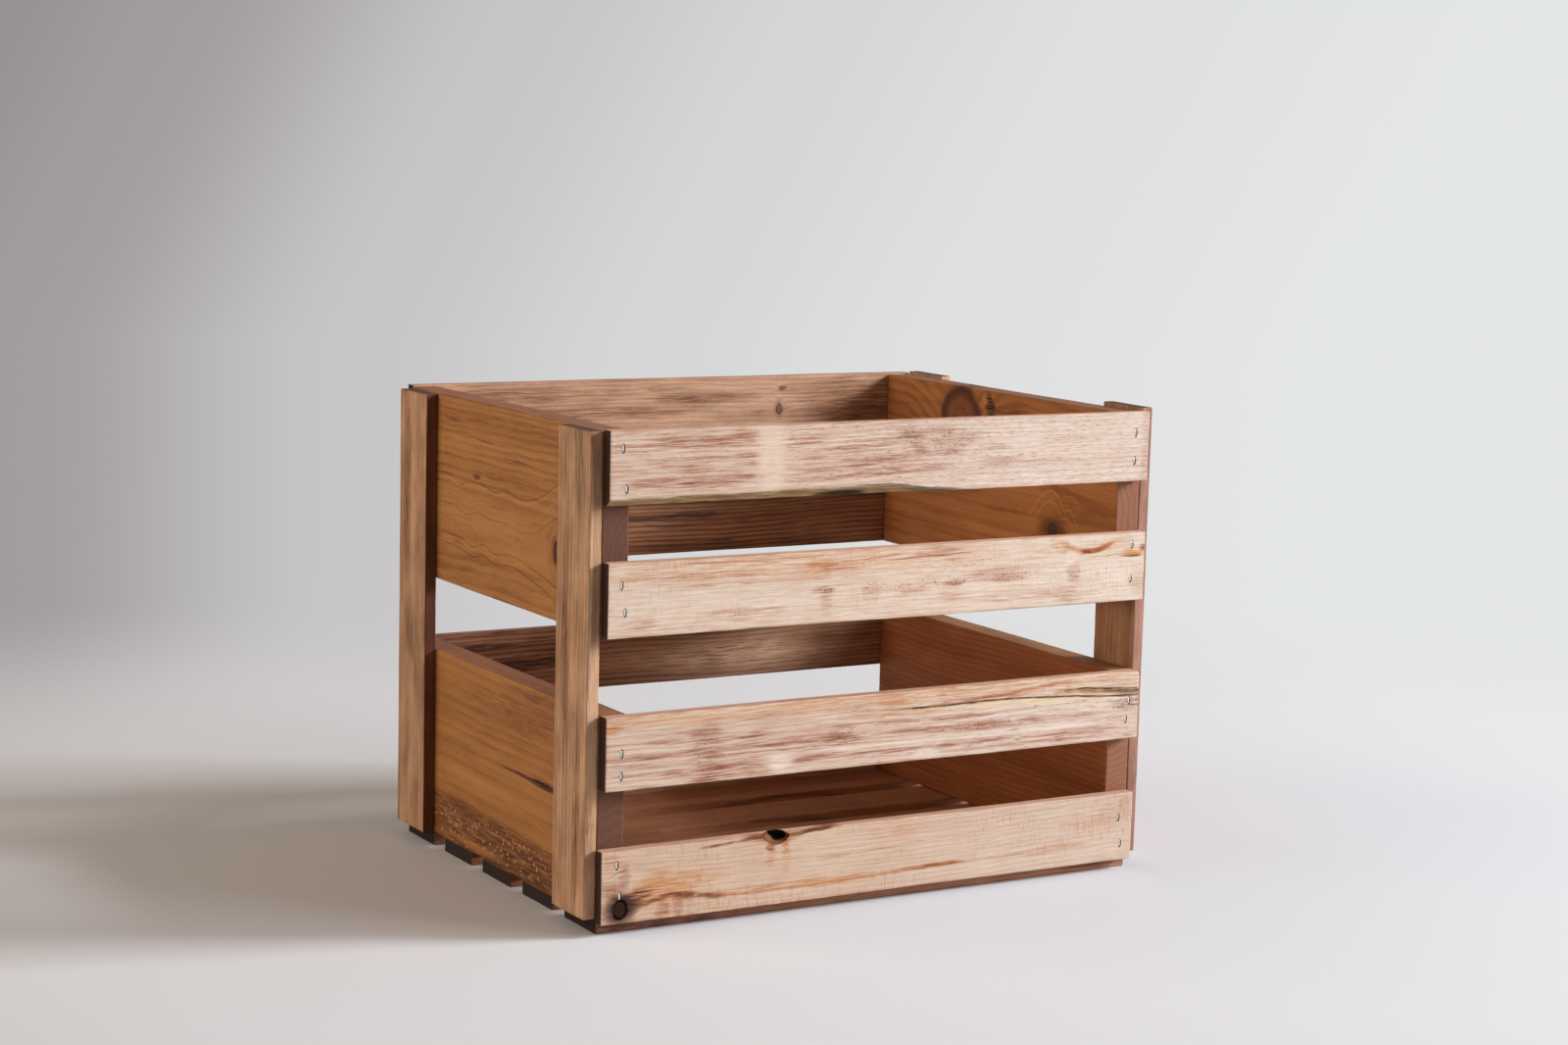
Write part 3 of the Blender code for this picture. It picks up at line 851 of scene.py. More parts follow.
# What is particular to each board, in its own millimetres. A patch is (along, across, half
# length, half width, turn, colour, strength), then its softness where that isn't
# PATCH_SOFTNESS. A vein is (points, half width, colour, strength), and a knot has the values
# that Knot names. A hollow is (along, across, through, three half sizes, colour, strength),
# and a strength of 0 only takes its gloss away. Specks are (along, across, half length, half
# width, (spacing along, across), colour, strength, share).
CHANGES = {
    "front_slat_top": {
        "tones": ((238, 224, 213), (214, 188, 171)),
        "wane": True, "saw": 1.2, "saw_from": (60.0, 230.0), "flecks": 0.85,
        "fleck_tone": (160, 114, 97), "saw_size": (6.0, 0.75, 0.75),
        "patches": (
            (52, 38.0, 24, 1.9, 0, RUST, 0.55), (84, 38.6, 20, 1.9, 1.5, RUST, 0.5),
            (14, 35.4, 22, 0.9, 0, PINK_BROWN, 0.5), (44, 35.2, 20, 1.4, 0.5, RUST, 0.45),
            (66, 34.0, 24, 1.3, 1, RUST, 0.45), (88, 35.5, 12, 1.0, 1, RUST, 0.4),
            (22, 31.8, 16, 0.9, 0, PINK_BROWN, 0.45), (30, 25.0, 10, 0.8, 0, PINK_BROWN, 0.4),
            (60, 26.5, 30, 1.2, 0, RUST, 0.4), (92, 27.0, 8, 1.8, 0, RUST, 0.5),
            (46, 22.4, 20, 1.1, 0, RUST, 0.4), (96, 22.0, 12, 1.2, 0, RUST, 0.35),
            (64, 19.0, 22, 1.2, 0, PINK_BROWN, 0.5), (62, 12.5, 30, 3.6, 0, RUST, 0.5),
            (26, 12.8, 13, 3.0, 0, PINK_BROWN, 0.5), (98, 14.5, 12, 1.4, 0, RUST, 0.5),
            (109, 24, 9, 40, 0, PALE, 0.9), (132, 36.5, 14, 1.3, 1, PINK_BROWN, 0.6),
            (130, 33.2, 10, 0.9, 1, RUST, 0.5), (136, 24.0, 14, 1.0, 1, PINK_BROWN, 0.5),
            (148, 16.5, 18, 1.3, 2, PINK_BROWN, 0.55), (150, 12.0, 20, 1.6, 2, PINK_BROWN, 0.5),
            (168, 29.5, 26, 1.5, 2, PINK_BROWN, 0.6), (186, 22.2, 24, 1.5, 2, RUST, 0.55),
            (172, 18.6, 20, 1.0, 2, PINK_BROWN, 0.55), (190, 13.6, 24, 2.4, 2, RUST, 0.6),
            (186, 34.0, 22, 1.0, 2, PINK_BROWN, 0.5), (196, 40.5, 10, 1.0, 0, PINK_BROWN, 0.4),
            (207, 35.5, 9, 3.8, 0, UMBER, 0.36), (214, 27.5, 8, 3.2, -25, RUST, 0.6),
            (230, 37.5, 16, 2.8, 0, RUST, 0.55), (240, 31.0, 15, 3.2, 0, UMBER, 0.28),
            (233, 24.5, 12, 2.0, 0, RUST, 0.55), (224, 15.0, 12, 2.8, 0, PINK_BROWN, 0.5),
            (206, 20.0, 12, 1.6, 0, PINK_BROWN, 0.5), (252, 35.0, 10, 1.2, 0, PINK_BROWN, 0.4),
            (276, 17.0, 14, 3.2, 0, RUST, 0.5), (272, 25.5, 12, 1.2, 0, PINK_BROWN, 0.45),
            (310, 16.0, 24, 1.6, 0, PINK_BROWN, 0.4), (340, 30.0, 34, 1.2, 0, PINK_BROWN, 0.25),
            (388, 22, 3, 30, 0, (170, 146, 136), 0.3), (320, 22, 90, 70, 0, PALE, 0.3),
            (60, 22, 150, 60, 0, (230, 194, 164), 0.4),
        ),
        "specks": (
            (206, 34, 10, 7, (2.6, 1.1), RUST, 0.7, 0.6),
            (236, 31, 16, 9, (2.9, 1.2), RUST, 0.65, 0.6),
            (276, 18, 15, 4, (3.1, 1.1), RUST, 0.6, 0.5),
        ),
    },
    "front_slat_third": {
        "saw": 0.2, "streak": 0.2, "ring_strength": 0.13, "fibre": 0.3, "flecks": 0.3,
        "chatter": 0.28, "tones": ((237, 225, 212), (219, 198, 180)),
        "patches": (
            (120, 38, 150, 7.5, 0, (222, 180, 148), 0.6),
            (90, 22, 190, 60, 0, (228, 194, 164), 0.32), (60, 34.0, 46, 1.6, 0, PINK_BROWN, 0.3),
            (90, 28.5, 60, 1.0, 0, PINK_BROWN, 0.25), (150, 33, 30, 1.0, 1, PINK_BROWN, 0.3),
            (146, 36.0, 9, 3.2, 0, (198, 140, 94), 0.55), (147, 31, 6, 3.4, 0, (206, 156, 116), 0.45),
            (22, 8, 10, 3, 0, PINK_BROWN, 0.4), (92, 12, 28, 1.6, 0, PINK_BROWN, 0.3),
            (90, 8, 8, 3, 0, RUST, 0.2), (110, 10, 10, 3, 0, PINK_BROWN, 0.2),
            (146, 21, 8, 2.0, 0, RUST, 0.55), (149, 14, 4, 7, 0, RUST, 0.3),
            (182, 18, 6, 6, 0, RUST, 0.2), (214, 18, 20, 4, 0, PINK_BROWN, 0.35),
            (243, 20, 8, 1.8, 0, RUST, 0.55), (240, 12, 9, 6, 0, PINK_BROWN, 0.22),
            (276, 24, 26, 4.0, 3, RUST, 0.28), (284, 20, 14, 1.3, 0, RUST, 0.4),
            (222, 40, 12, 3, 0, PINK_BROWN, 0.35), (240, 38, 10, 4, 0, PINK_BROWN, 0.35),
            (300, 8, 40, 2.4, 0, PINK_BROWN, 0.3), (334, 21, 4.4, 7, 8, RUST, 0.42),
            (330, 7, 9, 5, 0, RUST, 0.3), (325, 38, 9, 4, -25, HONEY, 0.5),
            (331, 31, 5, 5, 0, PALE, 0.9), (362, 37.5, 14, 3.4, 10, (214, 160, 120), 0.6),
            (383, 33, 9, 3.0, 0, (222, 176, 122), 0.9), (390, 35, 3.4, 2.2, 0, UMBER, 0.95),
            (386, 12, 6, 9, 0, PINK_BROWN, 0.28),
        ),
        "veins": (
            (((320, 42), (328, 38.6), (336, 35.6), (346, 34.6)), 3.4, (206, 152, 116), 0.6),
            (((334, 34.0), (343, 34.4), (352, 35.0), (360, 37.2), (368, 41.5)), 2.6,
             (172, 108, 68), 0.95),
            (((338, 35.6), (348, 33.4), (356, 34.6)), 1.2, (146, 86, 52), 0.7),
            (((340, 30), (362, 30.6), (390, 32)), 0.7, (186, 124, 84), 0.7),
            (((368, 29.6), (380, 29.9), (390, 30.2)), 1.2, (140, 84, 50), 0.95),
            (((190, 36.4), (220, 37.6), (262, 38.8)), 0.7, (170, 110, 84), 0.6),
            (((150, 37.4), (180, 38.4), (208, 40.4)), 0.6, (176, 116, 88), 0.7),
            (((40, 42.4), (90, 41.6), (150, 42.0)), 0.8, (190, 134, 108), 0.6),
        ),
        "specks": (
            (146, 21, 8, 2.4, (1.9, 1.1), UMBER, 0.85, 0.6),
            (182, 21.4, 9, 2.4, (1.9, 1.1), UMBER, 0.8, 0.5),
            (220, 20.4, 30, 2.2, (1.9, 1.1), RUST, 0.9, 0.6),
            (243, 20.6, 8, 2.4, (1.7, 1.0), UMBER, 0.9, 0.7),
            (284, 21.0, 26, 3.0, (1.9, 1.1), UMBER, 0.5, 0.5),
            (334, 20, 8, 4, (1.8, 1.1), UMBER, 0.55, 0.5),
            (86, 20.4, 6, 1.6, (1.9, 1.1), UMBER, 0.7, 0.5),
            (320, 20.6, 5, 1.8, (1.6, 1.0), UMBER, 0.8, 0.6),
            (92, 10, 18, 6, (2.6, 1.6), RUST, 0.35, 0.4), (260, 28, 60, 9, (3.1, 1.5), RUST, 0.3, 0.4),
        ),
    },
    "front_slat_second": {
        "saw": 0.8, "saw_from": (120.0, 260.0), "saw_size": (9.0, 1.1, 1.1), "streak": 0.5,
        "flecks": 0.55, "worn": ((390, 45, 3.2, 9.0),),
        "tones": ((231, 216, 203), (204, 178, 161)),
        "patches": (
            (195, 41.0, 240, 4.6, 0, (228, 188, 148), 0.65),
            (70, 22, 160, 60, 0, (222, 184, 152), 0.25), (3, 37, 7, 3.4, 0, (212, 154, 104), 0.75),
            (66, 30, 12, 3.4, 0, RUST, 0.6), (68, 19, 12, 13, 0, PINK_BROWN, 0.5),
            (70, 6, 13, 5, 0, RUST, 0.5), (30, 27.5, 30, 1.0, 0, PINK_BROWN, 0.5),
            (98, 26.4, 16, 1.5, 0.5, RUST, 0.8), (60, 26.2, 26, 0.9, 0, RUST, 0.45),
            (24, 19.0, 26, 1.5, 0, RUST, 0.65), (64, 20.5, 14, 1.2, 0, RUST, 0.55),
            (112, 19.0, 30, 1.6, 0, RUST, 0.6), (152, 19.5, 20, 1.4, 0, PINK_BROWN, 0.6),
            (132, 21.5, 40, 2.4, 0, PINK_BROWN, 0.45), (164, 24, 8, 4.4, 0, UMBER, 0.28),
            (166, 18, 14, 1.6, 0, UMBER, 0.4), (40, 13.0, 40, 0.8, 0, PINK_BROWN, 0.35),
            (35, 8.5, 26, 1.1, 0, PINK_BROWN, 0.5), (48, 6, 7, 2.3, 0, RUST, 0.5),
            (88, 9, 20, 1.6, 0, RUST, 0.5), (140, 8.5, 24, 2.0, 0, RUST, 0.65),
            (188, 8, 26, 1.1, 0, RUST, 0.65), (76, 2.6, 13, 2.5, 0, RUST, 0.6),
            (103, 7, 14, 4.6, 0, PINK_BROWN, 0.5), (205, 26.0, 16, 1.4, 0, PINK_BROWN, 0.65),
            (250, 25.6, 26, 1.7, 0.5, RUST, 0.6), (212, 20, 18, 1.8, 0, RUST, 0.65),
            (258, 18.5, 32, 2.8, 0, PINK_BROWN, 0.6), (262, 19.5, 26, 1.2, 0, RUST, 0.5),
            (305, 19.5, 10, 2.0, 0, RUST, 0.55), (330, 19.5, 34, 1.4, 0, PINK_BROWN, 0.4),
            (206, 8.5, 16, 1.2, 0, RUST, 0.6), (256, 8.5, 28, 1.5, 0, RUST, 0.75),
            (342, 8, 32, 2.4, 0, PINK_BROWN, 0.65), (300, 4, 60, 1.4, 0, PINK_BROWN, 0.45),
            (119, 8, 9, 5, 0, PALE, 0.9), (226, 4, 9, 3.4, 0, PALE, 0.7),
            (186, 12.6, 50, 1.2, 0, PALE, 0.6), (296, 13, 66, 2, 0, PALE, 0.7),
            (210, 32, 36, 2.6, 0, (214, 158, 118), 0.5), (205, 39, 12, 3, 0, (206, 146, 108), 0.4),
            (268, 35.6, 34, 2.2, 1, (190, 138, 110), 0.6), (286, 31.0, 52, 1.6, -1, (232, 208, 166), 0.8),
            (385, 31, 11, 2.4, 0, (112, 94, 74), 0.85), (382, 24, 10, 3.4, 0, (150, 124, 110), 0.7),
        ),
        "veins": (
            (((200, 34.2), (224, 33.6), (262, 34), (282, 34.2), (300, 33.6), (324, 32.6),
              (346, 31.2), (368, 29.6), (390, 28.8)), 0.9, (84, 64, 30), 0.95),
            (((300, 32.2), (330, 30.9), (352, 29.4), (380, 27.8)), 1.2, (226, 204, 150), 0.6),
            (((244, 33.8), (262, 36), (285, 37.4), (305, 39.4), (322, 41), (346, 42)), 2.0,
             (194, 146, 116), 0.65),
            (((318, 35.6), (346, 35), (366, 33.4), (390, 31.6)), 2.4, (150, 116, 70), 0.9),
            (((330, 34.8), (345, 36.6), (356, 35.6), (390, 33.8)), 0.7, (84, 62, 34), 0.9),
            (((60, 15.6), (120, 15.8), (190, 15)), 0.6, RUST, 0.7),
            (((300, 39.4), (330, 41), (390, 39)), 0.7, (196, 150, 104), 0.6),
        ),
        "specks": (
            (380, 24, 11, 5, (2.0, 1.5), UMBER, 0.85, 0.6), (262, 19, 32, 3, (2.4, 1.0), UMBER, 0.6, 0.5),
            (68, 16, 12, 16, (2.1, 1.4), RUST, 0.5, 0.5), (166, 21, 9, 6, (2.1, 1.2), UMBER, 0.6, 0.5),
        ),
    },
    "front_slat_lowest": {
        "saw": 0.15, "streak": 0.22, "ring_strength": 0.24, "fibre": 0.35, "chatter": 0.55,
        "flecks": 0.2, "tones": ((218, 201, 184), (197, 171, 150)),
        "knots": (
            {"a": 12.5, "b": 8.8, "half_a": 4.6, "half_b": 5.6, "core": (58, 38, 31),
             "ring": (8, 5, 4), "halo": (58, 34, 25), "push": 5.0, "halo_a": 2.6,
             "halo_b": 1.9},
        ),
        "patches": (
            (60, 22, 170, 60, 0, (216, 178, 144), 0.4),
            (22, 15.5, 10, 3.4, 14, (104, 68, 46), 0.85), (15, 27, 3.2, 9, 0, (150, 114, 100), 0.5),
            (6, 20, 6, 5, -20, (150, 106, 82), 0.6), (40, 17, 18, 7, 0, (206, 150, 100), 0.65),
            (14, 10, 9, 6.2, 12, (92, 62, 50), 0.6),
            (34, 24, 12, 6, 30, (206, 150, 104), 0.5), (60, 22, 22, 6, 0, (210, 158, 112), 0.5),
            (42, 5, 4, 6, 0, (168, 118, 88), 0.7), (52, 6, 3, 7, 0, (176, 128, 100), 0.7),
            (60, 6, 3, 8, 0, (190, 142, 112), 0.3), (6, 38, 5, 5, 20, (190, 138, 112), 0.5),
            (120, 43, 15, 4.0, 0, (140, 92, 60), 0.85), (110, 45, 12, 1.6, 0, (124, 80, 52), 0.7),
            (116, 36.4, 2.8, 2.4, 0, (146, 86, 58), 0.9), (127, 37, 2, 3, 10, HONEY, 0.7),
            (116, 32, 3, 8, 0, (196, 146, 112), 0.4), (127, 30, 3, 9, 0, (196, 146, 112), 0.4),
            (128, 12.0, 66, 1.5, 0, (190, 132, 86), 0.5), (160, 9.6, 22, 1.6, 0, HONEY, 0.6),
            (200, 40, 20, 7, 0, (206, 152, 122), 0.25), (212, 36, 8, 4, 0, (196, 134, 104), 0.22),
            (236, 12.2, 22, 1.5, 0, (156, 96, 56), 0.85), (160, 26.5, 20, 0.9, 0, PINK_BROWN, 0.4),
            (333, 14, 18, 2.2, 0, (196, 146, 118), 0.4), (300, 12, 30, 1.6, 0, PINK_BROWN, 0.35),
            (384, 38, 4, 8, 0, (190, 140, 114), 0.35), (370, 30, 12, 8, 0, (202, 156, 130), 0.4),
            (345, 28, 12, 6, 0, (208, 164, 138), 0.4),
        ),
        "hollows": (
            (12.5, 8.8, 0.0, 5.2, 6.3, 3.0, (36, 23, 18), 0.0),
            (120.5, 45.2, 0.4, 10.2, 7.8, 6.8, (122, 80, 54), 0.9),
            # The near-black inside the knot's recess is partly the knot's dark bark and partly painted
            # shade.
            (121.6, 44.6, 0.8, 6.6, 5.6, 8.0, (9, 6, 5), 1.0),
        ),
        "veins": (
            (((14, 10.4), (24, 11), (33, 11.6), (42, 13.4), (50, 14.2), (62, 12.6), (76, 10.6),
              (88, 9.8)), 3.2, (128, 84, 54), 0.9),
            (((66, 11.2), (90, 9.8), (120, 9.4), (160, 9.6), (200, 10.6), (232, 12), (262, 12.6)),
             1.4, (186, 128, 86), 0.55),
            (((62, 40.2), (86, 41.8), (102, 42.8), (118, 43.6)), 1.5, (128, 84, 58), 0.8),
            (((124, 41.2), (138, 42.8), (150, 43.8), (170, 44.8)), 1.4, (112, 70, 46), 0.95),
            (((200, 28.6), (256, 30.2), (316, 33), (346, 34)), 0.55, (194, 146, 116), 0.55),
            (((150, 25), (186, 26.4), (212, 27.6)), 0.55, (186, 134, 104), 0.6),
            (((2, 28), (10, 31), (17, 34), (21, 40), (24, 45)), 0.9, (166, 118, 92), 0.5),
            (((60, 27), (100, 27.6), (150, 27)), 0.55, (184, 134, 108), 0.55),
        ),
    },
    "left_end_board_upper": {
        "pith": (40.0, 50.0), "sway": 9.0, "ripple": 0.9, "spacing": 3.7, "ring_strength": 0.34,
        "flecks": 0.3,
        "knots": (
            {"a": 58, "b": 42, "half_a": 5.5, "half_b": 7.0, "core": (92, 56, 34),
             "ring": (52, 30, 20), "halo": (146, 94, 52), "push": 9.0},
            {"a": 176, "b": 74, "half_a": 3.4, "half_b": 1.2, "core": (128, 82, 46),
             "ring": (104, 64, 36), "halo": (160, 106, 62), "push": 1.5},
        ),
        "patches": (
            (150, 112, 150, 4, 0, (164, 108, 60), 0.4), (150, 41, 160, 8, 0, (206, 146, 86), 0.5),
            (210, 107, 14, 0.8, 0, UMBER, 0.75), (160, 98, 28, 0.7, 0, UMBER, 0.55),
            (120, 90, 26, 0.7, 0, UMBER, 0.5), (200, 84, 40, 0.7, 0, UMBER, 0.45),
            (120, 78, 60, 4, 0, (170, 112, 62), 0.5), (180, 10, 60, 6, 0, (176, 118, 64), 0.4),
        ),
        "veins": (
            *ridge(((45, 86), (62, 80), (85, 70), (110, 66), (135, 68), (150, 65.5), (165, 68),
                    (188, 67.5), (200, 65), (215, 68.5), (240, 69)), 2,
                   (1.0, GOLD, 0.4), (0.8, CONTOUR, 0.6)),
            (((45, 78), (70, 68), (88, 58), (110, 54), (130, 57), (150, 56), (170, 58),
              (190, 55), (210, 59), (240, 58)), 0.9, GOLD, 0.35),
            *ridge(((45, 72), (72, 60), (90, 52), (112, 49.5), (132, 52), (152, 51),
                    (172, 53.5), (192, 50.5), (212, 54), (240, 53)), -2,
                   (0.8, GOLD, 0.3), (0.8, CONTOUR, 0.4)),
            *ridge(((45, 10), (60, 18), (75, 22), (95, 25), (120, 29), (150, 27), (165, 30),
                    (180, 27), (200, 30), (240, 31)), 2,
                   (0.9, GOLD, 0.35), (0.8, CONTOUR, 0.6)),
            (((45, 4), (60, 11), (75, 16), (95, 20), (120, 24), (150, 22.5), (165, 25),
              (180, 22.5), (200, 25), (240, 26)), 0.8, (140, 88, 46), 0.6),
        ),
    },
    "left_end_board_lower": {
        "spacing": 7.0, "ring_strength": 0.25, "bands": 0.4, "flecks": 0.3,
        "tones": ((204, 146, 82), (164, 108, 58)),
        "patches": (
            (92, 66, 36, 1.0, 0, (84, 48, 26), 0.95), (68, 65.6, 18, 2.2, 0, (72, 40, 24), 1.0),
            (140, 9, 260, 20, 1.2, (134, 86, 54), 0.9, 0.1), (100, 10, 60, 10, 0, (120, 74, 46), 0.3),
            (172, 5.0, 34, 2.2, 0, (202, 140, 76), 0.8), (100, 104, 70, 12, 0, (154, 96, 56), 0.5),
            (150, 46, 150, 5, 0, (212, 152, 86), 0.4), (80, 118, 40, 3, 0, (134, 84, 50), 0.5),
        ),
        "specks": (
            (150, 12, 150, 13, (3.4, 3.4), (218, 168, 116), 0.85, 0.6),
        ),
    },
    "right_end_board_upper": {
        "pith": (60.0, -46.0), "sway": 9.0, "spacing": 5.0, "ring_strength": 0.42,
        "tones": ((200, 136, 78), (152, 98, 52)), "flecks": 0.35, "streak": 0.4,
        "end": (148, 96, 70),
        "knots": (
            {"a": 184, "b": 100, "half_a": 22, "half_b": 20, "core": (128, 76, 44),
             "ring": (66, 36, 22), "halo": (150, 96, 54), "push": 16.0, "halo_a": 1.5,
             "halo_b": 1.5, "rings": 2.4, "strength": 0.8},
            {"a": 70, "b": 36, "half_a": 4.5, "half_b": 3.8, "core": (74, 42, 24),
             "ring": (60, 34, 20), "halo": (110, 66, 34), "push": 22.0, "halo_a": 4.2,
             "halo_b": 3.0},
        ),
        "patches": (
            (147, 110, 3.6, 9, -20, (44, 24, 15), 0.95), (156, 112, 2.4, 8, -10, (214, 156, 96), 0.7),
            (240, 100, 20, 16, 0, (150, 98, 54), 0.4), (120, 108, 30, 6, 0, (120, 70, 38), 0.5),
        ),
        "veins": (
            (((34, 26), (40, 38), (46, 47), (52, 52), (57, 50), (62, 56), (68, 61), (76, 62),
              (84, 57), (92, 49), (100, 40), (106, 28)), 1.1, RESIN, 0.75),
            (((38, 24), (44, 35), (49, 42), (55, 46), (60, 45), (65, 51), (71, 55), (78, 54),
              (85, 48), (91, 40), (96, 28)), 1.0, RESIN, 0.6),
            (((44, 26), (50, 34), (55, 39), (62, 40), (67, 45), (73, 47), (80, 44), (86, 36),
              (90, 28)), 1.0, RESIN, 0.55),
            (((30, 36), (36, 48), (43, 57), (50, 61), (56, 60), (62, 66), (70, 70), (80, 69),
              (92, 61), (104, 50), (116, 36)), 1.0, (200, 142, 82), 0.55),
        ),
    },
    "right_end_board_lower": {
        "end": (148, 96, 70),
        "tones": ((182, 112, 66), (134, 78, 44)), "streak": 0.5, "flecks": 0.35,
    },
    "rear_slat_top": {
        "bands": 0.4, "streak": 0.4, "flecks": 0.55, "saw": 0.4, "clouds": 0.55,
        "knots": (
            {"a": 281, "b": 21, "half_a": 2.2, "half_b": 3.4, "core": (110, 74, 50),
             "ring": (84, 54, 36), "halo": (150, 108, 80), "push": 6.0},
            {"a": 283, "b": 36, "half_a": 2.0, "half_b": 1.2, "core": (120, 84, 60),
             "ring": (90, 60, 42), "halo": (150, 110, 84), "push": 3.0},
        ),
        "patches": (
            (60, 36, 60, 5, 0, (138, 94, 68), 0.5), (130, 22, 90, 4, 0, (146, 104, 78), 0.5),
            (215, 31, 34, 3.5, 0, (118, 78, 54), 0.65), (190, 38, 20, 2, 0, (118, 78, 54), 0.5),
            (255, 38, 60, 4, 0, (206, 168, 142), 0.6), (240, 22, 30, 4, 6, (208, 172, 146), 0.5),
            (330, 34, 40, 8, 0, (140, 98, 66), 0.5), (350, 20, 40, 9, 0, (120, 76, 46), 0.5),
        ),
    },
    "rear_slat_third": {
        "tones": ((196, 144, 106), (120, 76, 50)), "ring": (72, 44, 30), "ring_strength": 0.48,
        "streak": 0.65, "bands": 0.6, "flecks": 0.6, "fleck_tone": (60, 34, 22),
        "patches": (
            (90, 34, 60, 3, 0, (186, 138, 102), 0.6), (250, 18, 60, 5, 0, (166, 112, 78), 0.5),
            (180, 26, 50, 2, 0, (64, 36, 24), 0.7), (60, 14, 50, 4, 0, (64, 36, 24), 0.6),
        ),
    },
    "rear_slat_second": {
        "tones": ((196, 154, 124), (120, 78, 54)), "ring": (78, 48, 32), "ring_strength": 0.45,
        "streak": 0.6, "bands": 0.6, "flecks": 0.6, "fleck_tone": (70, 42, 28),
        "patches": (
            # Painted light and shade: the wide dark patch at the left end is painted shade, and the wide
            # pale patch at the right end and the pale band in the middle are painted light.
            (50, 22, 50, 34, 0, (150, 100, 72), 0.4), (320, 22, 60, 34, 0, (230, 190, 154), 0.3),
            (60, 20, 60, 4, 0, (70, 42, 28), 0.7), (40, 34, 40, 3, 0, (84, 52, 36), 0.6),
            (230, 18, 80, 10, 0, (222, 184, 154), 0.7), (330, 26, 40, 8, 0, (128, 84, 54), 0.5),
        ),
    },
    "corner_post_front_left": {
        "patches": (
            (270, 14, 30, 7, 2, (112, 90, 68), 0.55), (150, 30, 60, 4, 2, (112, 78, 54), 0.5),
            (60, 12, 60, 4, -1, (112, 78, 54), 0.5), (200, 20, 30, 6, 0, (206, 164, 122), 0.5),
            (142, 0, 26, 4, 0, (232, 194, 166), 0.5), (56, 0, 24, 4, 0, (150, 106, 82), 0.55),
        ),
    },
    "corner_post_rear_left": {
        # Its narrow front and rear faces are darkened with painted shade.
        "edge_stain_and_shade": (120, 70, 44), "edge_share": 1.0,
        "patches": (
            (120, 16, 30, 10, 20, (122, 94, 70), 0.5), (230, 30, 50, 5, 0, (120, 84, 60), 0.5),
            (60, 30, 40, 5, 0, (126, 92, 66), 0.25), (180, 12, 30, 6, 0, (206, 164, 124), 0.5),
            (74, 20, 26, 14, 0, (232, 188, 148), 0.3),
        ),
    },
    "corner_post_front_right": {
        "tones": ((202, 158, 122), (144, 100, 74)),
        "edge_stain_and_shade": (186, 140, 124), "edge_share": 0.9,
    },
    "bottom_slat_1": {
        "tones": ((194, 136, 106), (142, 92, 68)),
        "patches": (
            (10, 10, 70, 60, 0, (104, 68, 54), 0.75), (110, 10, 130, 60, 0, (160, 110, 88), 0.4),
        ),
    },
    "bottom_slat_2": {"tones": ((212, 152, 112), (154, 100, 68))},
    "bottom_slat_3": {"tones": ((206, 144, 104), (148, 94, 64))},
}


def look_of(name, base):
    """All that a board's material needs: its base look, its changes and the tones left out."""
    look = {**base, **CHANGES.get(name, {})}
    look.setdefault("pale_tone", look["tones"][0])
    look.setdefault("fleck_tone", look["ring"])
    look.setdefault("saw_tone", look["fleck_tone"])
    look["knots"] = [Knot(**knot) for knot in look["knots"]]
    return look


# ---------------------------------------------------------------- making the boards

# The bark side left on the top slat's lower front arris, and the knot hollow and dished
# edge of the lowest front slat, in the slats' own millimetres.
WANE_LENGTH = 241.0
WANE_FADE = 42.0
WANE_HEIGHT = 5.2
WANE_SLOPE = math.radians(41.0)
WANE_RIPPLE = 0.5
WANE_RIPPLE_PITCH = 62.0
WANE_START_LOSS = 1.4
WANE_RISE = 95.0
WANE_LUMPS = 0.35
BURNT_BARK = (161, 1.6, 20, 2.4)
BARK_TAIL = (228, 1.6, 26, 1.3, -3.0)
KNOT_FROM_END = 120.5
KNOT_HALVES = (9.8, 7.5, 6.2)
KNOT_OFFSET = 0.7
KNOT_LUMPS = 0.09
DISH_HALF_LENGTH = 45.0
DISH_DEPTH = 2.6
DISH_LEAN = math.radians(17.0)


def wane_distance(points):
    """How far points lie beyond the bark surface, in mm."""
    along = points[:, 0]
    ripple = WANE_RIPPLE * (1.0 - np.cos(2 * math.pi * along / WANE_RIPPLE_PITCH)) / 2
    rise = np.maximum(0.0, 1.0 - along / WANE_RISE)
    run_out = np.maximum(0.0, (along - (WANE_LENGTH - WANE_FADE)) / WANE_FADE)
    height = WANE_HEIGHT * (1.0 - run_out) - ripple - WANE_START_LOSS * rise * rise
    lumps = WANE_LUMPS * noise(points, 91, (9.0, 4.0, 4.0))
    outward = -math.sin(WANE_SLOPE) * points[:, 2] - math.cos(WANE_SLOPE) * (points[:, 1] - height)
    return outward + lumps


def dish_distance(points):
    """How far points lie inside the round cut that dishes the edge beside the knot, in mm."""
    radius = (DISH_HALF_LENGTH**2 + DISH_DEPTH**2) / (2 * DISH_DEPTH)
    low = boards["front_slat_lowest"].size[1] - DISH_DEPTH
    rise = (points[:, 1] - low) * math.cos(DISH_LEAN) - points[:, 2] * math.sin(DISH_LEAN) - radius
    return radius - np.hypot(points[:, 0] - KNOT_FROM_END, rise)


def knot_cutter(board):
    """Lumpy hollow where the knot fell out."""
    shape = bmesh.new()
    bmesh.ops.create_icosphere(shape, subdivisions=4, radius=1.0)
    round_points = np.array([vert.co[:] for vert in shape.verts])
    grow = 1.0 + KNOT_LUMPS * noise(round_points, 77, 0.45)
    for vert, size in zip(shape.verts, grow):
        a = KNOT_FROM_END + vert.co.x * KNOT_HALVES[0] * size
        b = board.size[1] + KNOT_OFFSET + vert.co.y * KNOT_HALVES[1] * size
        t = -KNOT_OFFSET + vert.co.z * KNOT_HALVES[2] * size
        vert.co = board.point(a, b, t)
    face_outward(shape)
    return shape


